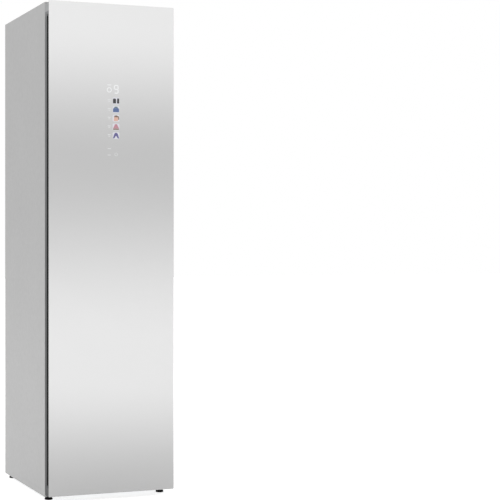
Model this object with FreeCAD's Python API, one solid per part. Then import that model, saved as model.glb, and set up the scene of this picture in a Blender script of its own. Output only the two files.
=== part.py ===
import FreeCAD, Part
import math
import os

# Clothes care steam cabinet: a tall, slim, free-standing cabinet with one full-height glass-fronted door
# hinged on the right, a garment chamber with a shaking hanger bar, and a machine room with a heat pump and a
# steamer below it. Millimetres. +X is to the right, +Y to the back and +Z up; the door faces -Y. The origin
# is on the floor, under the middle of the cabinet's box.

V = FreeCAD.Vector
X_AXIS, Y_AXIS, Z_AXIS = V(1, 0, 0), V(0, 1, 0), V(0, 0, 1)

# --------------------------------------------------------------------------------------------------
# Driving dimensions
# --------------------------------------------------------------------------------------------------
WIDTH, DEPTH, HEIGHT = 495.0, 620.0, 1850.0

FIT = 0.3                    # gap between pieces that are put together loosely
RUNNING = 0.05               # radial clearance of a shaft or rod in its bore
THROUGH = 1.0                # how far a cutting shape reaches past the face it cuts
SLOT_END = 0.49              # corner radius of a round-ended slot, as a share of its width

# Casing
SHEET = 1.0                  # painted steel of the sides, top and back
FRAME_SHEET = 1.2            # front frame behind the sides' folded returns
CASE_BOTTOM = 16.0           # lower edge of the casing above the floor
SIDE_RETURN = 14.0           # width of the sides' folded front return
REAR_RETURN = 16.0           # width of the sides' folded rear return
SIDE_BEND = 3.0              # outside radius of those folds
TOP_LIP = 15.0               # turned-down edge of the top panel

# Base and feet
BASE_SHEET = 2.0
BASE_HEIGHT = 24.0           # from the casing's lower edge to the upper face of the base pressing
FOOT_INSET = 25.0            # foot axis to the cabinet's side
FOOT_FRONT_SETBACK = 85.0    # foot axis to the glass
FOOT_REAR_INSET = 32.0       # foot axis to the back of the casing
FOOT_PAD_R, FOOT_PAD_H, FOOT_PAD_EDGE = 15.0, 8.0, 1.2
FOOT_HEX, FOOT_HEX_H = 15.0, 4.5
FOOT_STEM_R, FOOT_STEM_ABOVE = 5.0, 12.0     # stem above the base pressing
FOOT_BOSS_R, FOOT_BOSS_DROP = 11.0, 14.0

# Door
DOOR_THICKNESS = 46.0        # glass face to the door's back
DOOR_GAP = 4.0               # door's back to the casing, bridged by the gasket
GLASS_T, GLASS_BEVEL = 4.0, 0.8
GLASS_BOTTOM = 24.0          # above the floor
GLASS_TOP_DROP = 1.0         # below the cabinet's top
BODY_TOP_DROP = 8.0          # door body below the glass's top edge, where the hinge arm lies
CAP_HEIGHT, CAP_WALL = 30.0, 3.0
GRIP_WIDTH, GRIP_DEPTH = 15.0, 22.0          # full-height finger groove in the door's free edge
GRIP_BEHIND_GLASS = 2.5
GRIP_TOP_MARGIN, GRIP_BOTTOM_MARGIN = 50.0, 40.0
PROFILE_WALL = 2.5           # aluminium profiles along the door's two edges
GRIP_PROFILE_BACK = 12.0     # from the groove's bottom to the grip profile's inner side
HINGE_PROFILE = 24.0
LINER_T = 2.5                # moulded plastic of the chamber, the door's inside and the ducts
DYKE_CLEARANCE = 11.5        # chamber wall to the door liner's raised rim
DYKE_WIDTH, DYKE_HEIGHT, DISH_DEPTH = 22.0, 10.0, 12.0
DYKE_SILL, DYKE_TOP_DROP = 14.0, 12.0        # above the chamber's floor and below its ceiling
GASKET_WIDTH, GASKET_EDGE = 12.0, 1.0        # and from the sides' returns
GASKET_SILL, GASKET_ABOVE = 20.0, 28.0       # above the glass's lower edge, and above the chamber
TOUCH_BOARD_W, TOUCH_BOARD_H, TOUCH_BOARD_T = 60.0, 310.0, 5.0
TOUCH_BOARD_X, TOUCH_BOARD_DROP = 1.0, 435.0  # its middle, and that below the cabinet's top

# Hinges
HINGE_EDGE = 12.0            # pin axis to the door's edge
HINGE_SETBACK = 24.0         # pin axis to the glass face
PIN_R, PIN_LENGTH, BUSH_R = 4.0, 18.0, 8.0
ARM_T, ARM_REACH_LEFT, ARM_REACH_RIGHT = 4.0, 28.0, 8.0
ARM_NOSE, ARM_CORNER = 9.0, 4.5              # arm in front of the axis, and its front left corner
ARM_END = 7.0                # its front right corner
LEG_WIDTH, LEG_HEIGHT = 39.0, 22.0
LEG_FROM_AXIS = 11.0         # nearest edge of the leg, left of the pin axis
ARM_GAP = 1.0                # between the arm and the door body
POCKET_WALL = 5.0            # glass to the pocket of the lower arm
HINGE_SCREW_R = 2.2

# Chamber
SIDE_PAD, REAR_PAD, TOP_PAD = 21.5, 30.0, 20.0
CHAMBER_FLOOR = 440.0
DRIVE_SPACE = 150.0          # chamber's ceiling to the cabinet's top
CHAMBER_CORNER = 25.0
FLOOR_T = 4.0
PEG_R, PEG_LENGTH = 6.0, 7.0
PEG_FRONT, PEG_REAR = 110.0, 95.0            # from the front frame and from the rear wall
SHELF_RISE = 200.0           # chamber's floor to the underside of the shelf
SHELF_T, SHELF_BAR, SHELF_SLATS, SLAT_SHARE = 9.0, 11.0, 15, 0.4
SHELF_SIDE_GAP, SHELF_FRONT_GAP, SHELF_REAR_GAP = 6.0, 22.0, 16.0
LAMP_LENGTH, LAMP_W, LAMP_T, LAMP_CORNER = 180.0, 24.0, 5.0, 9.6
LAMP_SETBACK = 67.8          # its middle behind the front frame

# Hanger drive above the chamber
DRIVE_PLATE_T = 3.0
BAR_FORWARD, BAR_DROP = 1.6, 60.0            # bar's axis before the chamber's middle, below the ceiling
BAR_R, BAR_EDGE, BAR_END_GAP = 13.0, 3.9, 34.5
HOOK_SEAT_R, HOOK_SEAT_W, HOOK_PITCH, HOOK_SEATS = 10.0, 8.0, 55.0, 5
SHAKE = 14.0                 # travel of the bar to each side, and throw of the crank
POST_INSET, POST_R, POST_GAP = 35.0, 7.0, 3.0
ROD_R, ROD_SPACING, ROD_HEIGHT = 5.0, 96.0, 22.0
BLOCK_W, BLOCK_D, BLOCK_CAP, BLOCK_GAP = 16.0, 24.0, 10.0, 7.0
CARRIAGE_T, CARRIAGE_DEPTH, CARRIAGE_RISE, CARRIAGE_CORNER = 4.0, 124.0, 12.0, 8.0
CARRIAGE_PAST_POST = 18.0
BUSHING_FROM_POST, BUSHING_R, BUSHING_LENGTH, BUSHING_NECK = 45.0, 9.5, 36.0, 9.5
CRANK_OFFSET = 135.0         # crank axis behind the bar
CRANK_R, CRANK_SHAFT_R, CRANK_POST_R, CRANK_PIN_R, CRANK_PIN_H = 50.0, 6.0, 16.0, 5.0, 8.0
PULLEY_W, PULLEY_RIM, PULLEY_RIM_W, PULLEY_HEIGHT, PULLEY_GAP = 14.0, 3.0, 1.5, 44.5, 2.0
YOKE_GAP, YOKE_W, YOKE_T, YOKE_END = 0.5, 34.0, 4.0, 20.0
MOTOR_X, MOTOR_OFFSET, MOTOR_R, MOTOR_H, MOTOR_EDGE = -150.0, 150.0, 40.0, 39.0, 4.0
MOTOR_PULLEY_R, MOTOR_SHAFT_R, MOTOR_SHAFT_DEPTH = 16.0, 4.0, 19.5
BELT_T = 2.0
CONTROL_W, CONTROL_D, CONTROL_H, CONTROL_CORNER = 130.0, 100.0, 55.0, 5.0
CONTROL_SIDE_GAP, CONTROL_REAR_GAP = 43.5, 20.0

# Hangers
HANGER_SEATS = (-2, 0, 2)    # seats of the bar that carry a hanger, counted from its middle
HOOK_WIRE_R, HOOK_TIP, HOOK_BACK = 2.6, -25.0, 225.0     # degrees round the bar, from its rear side
HOOK_STEM, HOOK_IN_NECK = 27.0, 21.6
HANGER_T, HANGER_GAP, HANGER_DROP, HANGER_RISE = 14.0, 60.4, 72.0, 24.5     # gap at each shoulder's end
HANGER_NECK_HALF, HANGER_NECK_TOP_HALF, HANGER_NECK_H = 13.0, 9.0, 14.0
HANGER_BAND, HANGER_END, HANGER_TIP = 24.0, 8.0, 2.0     # depth, set-back and bulge of the shoulder's end

# Water tanks and their bay
BAY_BELOW_FLOOR, BAY_HEIGHT, BAY_DEPTH, BAY_SIDE_GAP = 20.0, 220.0, 150.0, 1.0
TANK_SETBACK = 28.0          # tank front behind the cabinet's front face
TANK_SIDE_GAP, TANK_SPACING, TANK_HEADROOM = 10.5, 8.0, 15.0
TANK_D, TANK_WALL, TANK_CORNER = 118.0, 2.5, 8.0
TANK_GRIP_W, TANK_GRIP_H, TANK_GRIP_D, TANK_GRIP_DROP, TANK_GRIP_CORNER = 120.0, 34.0, 20.0, 30.0, 6.0
LID_T, LID_RIM, LID_CAP_R, LID_CAP_H = 3.0, 5.0, 20.0, 3.0
SPIGOT_R, SPIGOT_HEIGHT, SPIGOT_LENGTH = 7.0, 26.0, 9.0

# Air duct, coils and blower
DUCT_SIDE_GAP, DUCT_HEIGHT = 7.0, 221.0
DUCT_FROM_BAY = 24.0         # room for the tanks' hoses
MACHINE_SPACE = 157.0        # beside the duct, for the compressor and the steamer
COIL_D, COIL_H, COIL_SIDE_GAP, COIL_FIN_T, COIL_FINS = 45.0, 185.0, 1.5, 1.2, 22
COIL_TUBE_R, COIL_TUBE_ROWS = 4.0, 4
COIL_REAR_GAP, COIL_SPACING = 31.0, 15.0     # behind the condenser, and between the coils
BLOWER_SHIFT, BLOWER_DROP = 15.0, 114.0      # right of the duct's middle and below the floor's underside
BLOWER_R, BLOWER_D, BLOWER_INLET_R, BLOWER_OUTLET_W, BLOWER_SHAFT_HOLE_R = 84.0, 76.0, 52.0, 78.0, 8.0
WHEEL_GAP, WHEEL_W, WHEEL_BLADES, BLADE_DEPTH, BLADE_T, BLADE_LEAN = 11.5, 54.0, 20, 14.0, 1.5, 25.0
WHEEL_DISC_T, WHEEL_RING_T, WHEEL_HUB_R, WHEEL_HUB_L, WHEEL_SHAFT_R = 2.0, 3.0, 16.0, 20.0, 4.0
WHEEL_SHAFT_IN_MOTOR = 25.0
BLOWER_MOTOR_R, BLOWER_MOTOR_L, BLOWER_MOTOR_EDGE = 40.0, 50.0, 5.0
MOTOR_REAR_GAP = 35.3        # blower motor to the back panel

# Lint filter and floor fittings
FILTER_SIDE_GAP, FILTER_D, FILTER_H, FILTER_LIP, FILTER_LIP_T = 22.0, 76.0, 22.0, 6.0, 3.0
FILTER_BAR, FILTER_WINDOWS, FILTER_MESH_T = 8.0, 3, 0.8
FILTER_GRIP_W, FILTER_GRIP_H, FILTER_GRIP_T, FILTER_GRIP_D, FILTER_GRIP_CORNER = 84.0, 22.0, 7.0, 10.0, 2.0
GRILLE_W, GRILLE_D, GRILLE_T, GRILLE_LIP, GRILLE_SLATS = 150.0, 60.0, 6.0, 5.0, 9
NOZZLE_R, NOZZLE_H, NOZZLE_EDGE = 30.0, 14.0, 8.4
NOZZLE_STEM_R, NOZZLE_STEM_L, NOZZLE_BORE_R = 10.0, 12.0, 6.0
NOZZLE_PORTS, NOZZLE_PORT_W, NOZZLE_PORT_SILL, NOZZLE_PORT_TOP = 10, 4.0, 2.0, 7.0
NOZZLE_FROM_STEAMER = 80.0   # nozzle behind the steamer

# Machines
MACHINE_X = 85.0             # axis of the compressor and the steamer from the duct
COMPRESSOR_REAR, COMPRESSOR_R, COMPRESSOR_H, COMPRESSOR_DOME = 112.5, 54.0, 190.0, 21.6
MOUNT_R, MOUNT_H, MOUNT_CIRCLE, COMPRESSOR_FOOT_R, COMPRESSOR_FOOT_T = 11.0, 16.0, 62.0, 13.0, 3.0
STEAMER_FROM_BAY = 87.8      # its middle behind the tank bay
STEAMER_W, STEAMER_D, STEAMER_H, STEAMER_CORNER = 120.0, 90.0, 100.0, 10.0
STEAMER_FLANGE, STEAMER_FLANGE_T, STEAMER_INLET = 5.0, 6.0, 25.0
STEAMER_LEG, STEAMER_LEG_R, STEAMER_LEG_INSET = 20.0, 6.0, 12.0
STEAMER_SPIGOT, STEAMER_SPIGOT_R = 8.0, 10.0
PUMP_R, PUMP_LENGTH, PUMP_HEAD_R, PUMP_HEAD_L = 20.0, 60.0, 26.0, 18.0
PUMP_AXIS_UP, PUMP_SADDLE_INSET, PUMP_SPACING, PUMP_FROM_BAY = 40.0, 8.0, 86.0, 67.8
HOSE_R, HOSE_BEND, STEAM_HOSE_R, STEAM_HOSE_BEND, STEAM_HOSE_RUN = 5.0, 12.0, 8.0, 24.0, 40.0
COPPER_R, COPPER_BEND, COPPER_RUN, COPPER_RISER = 4.0, 16.0, 25.0, 40.0
HOT_PIPE_UP, COLD_PIPE_UP, LINK_PIPE_UP = 157.0, 102.0, 46.0   # above the coils' lower ends
SUCTION_DROP = 76.0          # suction pipe below the compressor's top

# Back panel
VENT_ROWS, VENT_W, VENT_H, VENT_PITCH, VENT_ABOVE_BASE, VENT_SIDE = 8, 110.0, 5.0, 14.0, 64.0, 68.5
SCREW_HEAD_R, SCREW_HEAD_H, SCREW_EDGE, SCREW_R, SCREW_LENGTH = 4.0, 2.5, 1.25, 1.8, 9.0
SCREW_SLOT_W, SCREW_SLOT_L, SCREW_SLOT_D = 0.9, 4.0, 1.25
SCREWS_PER_SIDE, SCREW_END = 5, 60.0         # and the first and last from the back panel's ends
GLAND_EDGE, GLAND_ABOVE_BASE = 57.5, 30.0
GLAND_R, GLAND_BODY_R, GLAND_BODY_L, GLAND_BORE_R, GLAND_NUT_R, GLAND_NUT_T = 14.0, 9.0, 24.0, 4.0, 13.0, 6.0
TETHER_SPACING, TETHER_R, TETHER_DROP = 60.0, 2.75, 55.0

# --------------------------------------------------------------------------------------------------
# Places that follow from them
# --------------------------------------------------------------------------------------------------
X_SIDE = WIDTH / 2
Y_FRONT, Y_BACK = -DEPTH / 2, DEPTH / 2
Y_GLASS_BACK = Y_FRONT + GLASS_T
Y_DOOR_BACK = Y_FRONT + DOOR_THICKNESS
Y_CASE = Y_DOOR_BACK + DOOR_GAP                 # front of the sides' returns
Y_FRAME = Y_CASE + SHEET                        # front of the front frame
Y_INSIDE = Y_FRAME + FRAME_SHEET                # where liner, bay and pads start
Y_CASE_BACK = Y_BACK - SCREW_HEAD_H
Y_PANEL = Y_CASE_BACK - SHEET                   # outer face of the back panel
Y_PANEL_IN = Y_PANEL - SHEET
X_INSIDE = X_SIDE - SHEET
X_CORE = X_INSIDE - SIDE_BEND                   # what stands between the sides' folds
Z_BASE = CASE_BOTTOM + BASE_HEIGHT
Z_GLASS_TOP = HEIGHT - GLASS_TOP_DROP
Z_BODY_TOP = Z_GLASS_TOP - BODY_TOP_DROP
Z_CAP_TOP_UNDER = Z_BODY_TOP - CAP_HEIGHT
Z_CAP_BOTTOM_TOP = GLASS_BOTTOM + CAP_HEIGHT
X_GRIP_PROFILE = -X_SIDE + GRIP_DEPTH + GRIP_PROFILE_BACK
X_HINGE_PROFILE = X_SIDE - HINGE_PROFILE
HINGE_X, HINGE_Y = X_SIDE - HINGE_EDGE, Y_FRONT + HINGE_SETBACK
X_LINER = X_CORE - SIDE_PAD
X_CHAMBER = X_LINER - LINER_T
Y_LINER_BACK = Y_PANEL_IN - REAR_PAD
Y_CHAMBER_BACK = Y_LINER_BACK - LINER_T
CEILING = HEIGHT - DRIVE_SPACE
FLOOR_UNDER = CHAMBER_FLOOR - FLOOR_T
SHELF_UNDER = CHAMBER_FLOOR + SHELF_RISE
X_DYKE = X_CHAMBER - DYKE_CLEARANCE
Z_DYKE, Z_DYKE_TOP = CHAMBER_FLOOR + DYKE_SILL, CEILING - DYKE_TOP_DROP
Z_PLATE = CEILING + LINER_T + TOP_PAD
Z_PLATE_TOP = Z_PLATE + DRIVE_PLATE_T
Z_ROD = Z_PLATE_TOP + ROD_HEIGHT
Z_CARRIAGE = Z_ROD + CARRIAGE_RISE
BAR_Y, BAR_Z = (Y_INSIDE + Y_CHAMBER_BACK) / 2 - BAR_FORWARD, CEILING - BAR_DROP
BAR_LENGTH = 2 * (X_CHAMBER - BAR_END_GAP)
POST_X = BAR_LENGTH / 2 - POST_INSET
BUSHING_X = POST_X - BUSHING_FROM_POST
CARRIAGE_LENGTH = 2 * (POST_X + CARRIAGE_PAST_POST)
ROD_LENGTH = CARRIAGE_LENGTH + 2 * (SHAKE + BLOCK_GAP + BLOCK_W)
CRANK_Y, MOTOR_Y = BAR_Y + CRANK_OFFSET, BAR_Y + MOTOR_OFFSET
HANGER_HALF = (Y_CHAMBER_BACK - Y_INSIDE) / 2 - HANGER_GAP
Z_PULLEY = Z_PLATE_TOP + PULLEY_HEIGHT
Z_YOKE = Z_PULLEY + PULLEY_W + CRANK_PIN_H + YOKE_GAP
X_BAY = X_LINER - BAY_SIDE_GAP
BAY_TOP = CHAMBER_FLOOR - BAY_BELOW_FLOOR
BAY_BOTTOM = BAY_TOP - BAY_HEIGHT
Z_LINER_SEAM = (BAY_TOP + CHAMBER_FLOOR) / 2
Y_BAY_BACK = Y_INSIDE + BAY_DEPTH
TANK_W = X_BAY - LINER_T - TANK_SIDE_GAP - TANK_SPACING / 2
TANK_X = (TANK_W + TANK_SPACING) / 2
TANK_H = BAY_HEIGHT - 2 * LINER_T - TANK_HEADROOM
Y_TANK, Z_TANK = Y_CASE + TANK_SETBACK, BAY_BOTTOM + LINER_T + FIT
Z_SPIGOT = Z_TANK + SPIGOT_HEIGHT
DUCT_X0, DUCT_X1 = -X_LINER + DUCT_SIDE_GAP, X_LINER - MACHINE_SPACE
DUCT_BOTTOM = FLOOR_UNDER - DUCT_HEIGHT
Y_DUCT = Y_BAY_BACK + DUCT_FROM_BAY
Y_BLOWER_BACK = Y_PANEL_IN - MOTOR_REAR_GAP - BLOWER_MOTOR_L
Y_DUCT_BACK = Y_BLOWER_BACK - BLOWER_D
Y_CONDENSER = Y_DUCT_BACK - COIL_REAR_GAP - COIL_D
Y_EVAPORATOR = Y_CONDENSER - COIL_SPACING - COIL_D
BLOWER_X, BLOWER_Z = (DUCT_X0 + DUCT_X1) / 2 + BLOWER_SHIFT, FLOOR_UNDER - BLOWER_DROP
WHEEL_R = BLOWER_R - LINER_T - WHEEL_GAP
FILTER_X, FILTER_W = (DUCT_X0 + DUCT_X1) / 2, DUCT_X1 - DUCT_X0 - 2 * FILTER_SIDE_GAP
FILTER_Y = Y_DUCT + LINER_T + FILTER_LIP + FILTER_D / 2
GRILLE_X, GRILLE_Y = BLOWER_X - BLOWER_R + BLOWER_OUTLET_W / 2, Y_DUCT_BACK + BLOWER_D / 2
STEAMER_X, STEAMER_Y = DUCT_X1 + MACHINE_X, Y_BAY_BACK + STEAMER_FROM_BAY
NOZZLE_X, NOZZLE_Y = STEAMER_X, STEAMER_Y + NOZZLE_FROM_STEAMER
COMPRESSOR_X, COMPRESSOR_Y = DUCT_X1 + MACHINE_X, Y_CASE_BACK - COMPRESSOR_REAR
FEED_PUMP_X, DRAIN_PUMP_X, PUMP_Y = -TANK_X, -TANK_X + PUMP_SPACING, Y_BAY_BACK + PUMP_FROM_BAY
GLAND_X, GLAND_Z = X_SIDE - GLAND_EDGE, Z_BASE + GLAND_ABOVE_BASE
FEET = {
    "foot_front_left": (-X_SIDE + FOOT_INSET, Y_FRONT + FOOT_FRONT_SETBACK),
    "foot_front_right": (X_SIDE - FOOT_INSET, Y_FRONT + FOOT_FRONT_SETBACK),
    "foot_rear_left": (-X_SIDE + FOOT_INSET, Y_CASE_BACK - FOOT_REAR_INSET),
    "foot_rear_right": (X_SIDE - FOOT_INSET, Y_CASE_BACK - FOOT_REAR_INSET),
}


# --------------------------------------------------------------------------------------------------
# Shapes used by many pieces
# --------------------------------------------------------------------------------------------------
def box(x0, x1, y0, y1, z0, z1):
    return Part.makeBox(x1 - x0, y1 - y0, z1 - z0, V(x0, y0, z0))


def cylinder(radius, x, y, z, length, axis=Z_AXIS):
    return Part.makeCylinder(radius, length, V(x, y, z), axis)


def ring(outer, inner, x, y, z, length, axis=Z_AXIS):
    return cylinder(outer, x, y, z, length, axis).cut(cylinder(inner, x, y, z, length, axis))


def edges_along(shape, axis):
    """The straight edges of a shape that run along an axis."""
    found = []
    for edge in shape.Edges:
        if isinstance(edge.Curve, Part.Line):
            if abs(abs(edge.Curve.Direction.dot(axis)) - 1) < 1e-6:
                found.append(edge)
    return found


def circles_at(shape, axis, level):
    """The round edges of a shape whose centres lie at one level along an axis."""
    rounds = [edge for edge in shape.Edges if isinstance(edge.Curve, Part.Circle)]
    return [edge for edge in rounds if abs(edge.CenterOfMass.dot(axis) - level) < 1e-6]


def rounded_box(x0, x1, y0, y1, z0, z1, radius, axis=Z_AXIS):
    """A box whose four edges along an axis are rounded."""
    shape = box(x0, x1, y0, y1, z0, z1)
    return shape.makeFillet(radius, edges_along(shape, axis))


def centred_box(x, y, width, depth, z0, z1, radius):
    """An upright rounded box about a middle."""
    return rounded_box(x - width / 2, x + width / 2, y - depth / 2, y + depth / 2, z0, z1, radius)


def corner_arc(before, corner, after, radius):
    """Start, middle and end of the arc that rounds a corner of a path."""
    back, ahead = (before - corner).normalize(), (after - corner).normalize()
    half = back.getAngle(ahead) / 2
    reach = radius / math.tan(half)
    centre = corner + (back + ahead).normalize() * (radius / math.sin(half))
    middle = centre + (corner - centre).normalize() * radius
    return corner + back * reach, middle, corner + ahead * reach


def outline(points):
    """A flat face from (x, y) or (x, y, radius) points in order, rounded where a radius is given."""
    corners = [V(p[0], p[1], 0) for p in points]
    radii = [p[2] if len(p) > 2 else 0.0 for p in points]
    stops = []
    for i, corner in enumerate(corners):
        if radii[i] > 0:
            stops.append(corner_arc(corners[i - 1], corner, corners[(i + 1) % len(corners)], radii[i]))
        else:
            stops.append((corner, None, corner))
    edges = []
    for i, (_, _, leave) in enumerate(stops):
        arrive, middle, past = stops[(i + 1) % len(stops)]
        if (arrive - leave).Length > 1e-6:
            edges.append(Part.LineSegment(leave, arrive).toShape())
        if middle is not None:
            edges.append(Part.Arc(arrive, middle, past).toShape())
    return Part.Face(Part.Wire(edges))


def upright(points, z0, z1):
    """An outline in X and Y, raised from z0 to z1."""
    shape = outline(points).extrude(V(0, 0, z1 - z0))
    shape.translate(V(0, 0, z0))
    return shape


def mirrored(shape):
    """The same piece for the other side of the cabinet."""
    return shape.mirror(V(0, 0, 0), X_AXIS)


def rod(points, radius, bend):
    """A round pipe or hose along straight runs between points, joined by arcs of one radius."""
    stops = [V(*p) for p in points]
    edges, leave = [], stops[0]
    for before, corner, after in zip(stops, stops[1:], stops[2:]):
        arrive, middle, past = corner_arc(before, corner, after, bend)
        edges.append(Part.LineSegment(leave, arrive).toShape())
        edges.append(Part.Arc(arrive, middle, past).toShape())
        leave = past
    edges.append(Part.LineSegment(leave, stops[-1]).toShape())
    section = Part.Wire(Part.makeCircle(radius, stops[0], (stops[1] - stops[0]).normalize()))
    return Part.Wire(edges).makePipeShell([section], True, False)


def one(shapes):
    """Several overlapping or touching shapes as one solid."""
    shape = shapes[0].multiFuse(shapes[1:]) if len(shapes) > 1 else shapes[0]
    return shape.removeSplitter()


def group(shapes):
    """Separate solids that share one node, or several cutting shapes."""
    return Part.Compound(shapes)


# --------------------------------------------------------------------------------------------------
# Casing
# --------------------------------------------------------------------------------------------------
def screw_places():
    z0, z1 = Z_BASE + SCREW_END, HEIGHT - TOP_LIP - SCREW_END
    x = X_SIDE - REAR_RETURN / 2
    heights = [z0 + (z1 - z0) * i / (SCREWS_PER_SIDE - 1) for i in range(SCREWS_PER_SIDE)]
    return [(side * x, z) for side in (-1, 1) for z in heights]


def rear_holes(radius, places):
    """Holes through the back panel and the sides' rear returns."""
    return [cylinder(radius, x, Y_PANEL_IN - THROUGH, z, 2 * SHEET + 2 * THROUGH, Y_AXIS) for x, z in places]


def side_panel():
    """Left side: one sheet with a folded return at the front and at the back."""
    inner_bend = SIDE_BEND - SHEET
    section = [
        (-X_SIDE + SIDE_RETURN, Y_CASE),
        (-X_SIDE, Y_CASE, SIDE_BEND),
        (-X_SIDE, Y_CASE_BACK, SIDE_BEND),
        (-X_SIDE + REAR_RETURN, Y_CASE_BACK),
        (-X_SIDE + REAR_RETURN, Y_PANEL),
        (-X_INSIDE, Y_PANEL, inner_bend),
        (-X_INSIDE, Y_FRAME, inner_bend),
        (-X_SIDE + SIDE_RETURN, Y_FRAME),
    ]
    return upright(section, CASE_BOTTOM, HEIGHT).cut(group(rear_holes(SCREW_R + FIT, screw_places())))


def top_panel():
    """Flat top between the sides, with lips turned down at the sides and the back and its corners notched."""
    x, y0, y1 = X_INSIDE, Y_FRAME, Y_PANEL_IN
    shell = box(-x, x, y0, y1, HEIGHT - TOP_LIP, HEIGHT)
    hollow = box(-x + SHEET, x - SHEET, y0 - THROUGH, y1 - SHEET, HEIGHT - TOP_LIP, HEIGHT - SHEET)
    notches = [box(cx - SIDE_BEND, cx + SIDE_BEND, cy - SIDE_BEND, cy + SIDE_BEND, HEIGHT - TOP_LIP, HEIGHT)
               for cx in (-x, x) for cy in (y0, y1)]
    return shell.cut(group([hollow] + notches))


def vents():
    """Rows of round-ended slots for the machine room, left and right of the back panel."""
    slots = []
    middle = X_CORE - VENT_SIDE - VENT_W / 2
    for x in (-middle, middle):
        for row in range(VENT_ROWS):
            z = Z_BASE + VENT_ABOVE_BASE + VENT_PITCH * row
            slots.append(rounded_box(x - VENT_W / 2, x + VENT_W / 2, Y_PANEL_IN - THROUGH, Y_PANEL + THROUGH,
                                     z, z + VENT_H, SLOT_END * VENT_H, Y_AXIS))
    return slots


def rear_panel():
    """Flat back with holes for its screws, the wall tether and the mains gland, and the vents."""
    panel = box(-X_CORE, X_CORE, Y_PANEL_IN, Y_PANEL, Z_BASE + FIT, HEIGHT - SHEET)
    z_tether = HEIGHT - TETHER_DROP
    tether = rear_holes(TETHER_R, [(side * TETHER_SPACING / 2, z_tether) for side in (-1, 1)])
    gland = rear_holes(GLAND_BODY_R + FIT, [(GLAND_X, GLAND_Z)])
    return panel.cut(group(rear_holes(SCREW_R + FIT, screw_places()) + tether + gland + vents()))


def case_screws():
    """Pan-head screws through the sides' rear returns into the back panel."""
    screws = []
    for x, z in screw_places():
        head = cylinder(SCREW_HEAD_R, x, Y_CASE_BACK, z, SCREW_HEAD_H, Y_AXIS)
        head = head.makeFillet(SCREW_EDGE, circles_at(head, Y_AXIS, Y_BACK))
        slot = box(x - SCREW_SLOT_L / 2, x + SCREW_SLOT_L / 2, Y_BACK - SCREW_SLOT_D, Y_BACK,
                   z - SCREW_SLOT_W / 2, z + SCREW_SLOT_W / 2)
        shank = cylinder(SCREW_R, x, Y_CASE_BACK - SCREW_LENGTH, z, SCREW_LENGTH, Y_AXIS)
        screws.append(one([head, shank]).cut(slot))
    return group(screws)


def front_frame():
    """Sheet frame behind the sides' returns: two posts and three rails, welded edge to edge."""
    x, z0, z1 = X_CHAMBER, Z_BASE + FIT, HEIGHT - SHEET
    posts = [box(-X_CORE, -x, Y_FRAME, Y_INSIDE, z0, z1), box(x, X_CORE, Y_FRAME, Y_INSIDE, z0, z1)]
    levels = [(z0, BAY_BOTTOM + LINER_T), (BAY_TOP - LINER_T, CHAMBER_FLOOR), (CEILING, z1)]
    rails = [box(-x, x, Y_FRAME, Y_INSIDE, low, high) for low, high in levels]
    return group(posts + rails).cut(group(hinge_screw_holes(Y_FRAME, FRAME_SHEET)))


def base_frame():
    """Pressed steel tray, open downwards, with a threaded boss for each foot."""
    x, y0, y1 = X_CORE, Y_FRAME, Y_PANEL_IN
    under = Z_BASE - BASE_SHEET
    tray = box(-x, x, y0, y1, CASE_BOTTOM, Z_BASE)
    hollow = box(-x + BASE_SHEET, x - BASE_SHEET, y0 + BASE_SHEET, y1 - BASE_SHEET, CASE_BOTTOM, under)
    bosses = [cylinder(FOOT_BOSS_R, fx, fy, under - FOOT_BOSS_DROP, FOOT_BOSS_DROP)
              for fx, fy in FEET.values()]
    bores = [cylinder(FOOT_STEM_R + RUNNING, fx, fy, CASE_BOTTOM, BASE_HEIGHT + THROUGH)
             for fx, fy in FEET.values()]
    return one([tray.cut(hollow)] + bosses).cut(group(bores + hinge_screw_holes(Y_FRAME, BASE_SHEET)))


def foot(x, y):
    """Levelling foot: pad, spanner flats and screwed stem in one piece."""
    pad = cylinder(FOOT_PAD_R, x, y, 0, FOOT_PAD_H)
    pad = pad.makeChamfer(FOOT_PAD_EDGE, circles_at(pad, Z_AXIS, 0) + circles_at(pad, Z_AXIS, FOOT_PAD_H))
    corner_r = FOOT_HEX / math.sqrt(3)
    angles = [math.radians(60 * k) for k in range(6)]
    flats = upright([(x + corner_r * math.cos(a), y + corner_r * math.sin(a)) for a in angles],
                    FOOT_PAD_H, FOOT_PAD_H + FOOT_HEX_H)
    stem = cylinder(FOOT_STEM_R, x, y, FOOT_PAD_H, Z_BASE + FOOT_STEM_ABOVE - FOOT_PAD_H)
    return one([pad, flats, stem])


# --------------------------------------------------------------------------------------------------
# Hinges
# --------------------------------------------------------------------------------------------------
def arm_levels():
    """Underside of the lower and the upper hinge arm."""
    return GLASS_BOTTOM + ARM_GAP, Z_BODY_TOP + ARM_GAP


def leg_levels():
    """Underside of the lower and the upper hinge leg."""
    return CASE_BOTTOM + ARM_GAP, arm_levels()[1] + ARM_T - LEG_HEIGHT


def bush_levels():
    """Underside of the lower and the upper bush."""
    return arm_levels()[0] + ARM_T + ARM_GAP, Z_BODY_TOP - PIN_LENGTH


def hinge_screw_holes(y0, length):
    x = HINGE_X - LEG_FROM_AXIS - LEG_WIDTH / 2
    return [cylinder(HINGE_SCREW_R, x + side * LEG_WIDTH / 4, y0 - THROUGH, z + LEG_HEIGHT / 2,
                     length + 2 * THROUGH, Y_AXIS) for z in leg_levels() for side in (-1, 1)]


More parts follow.
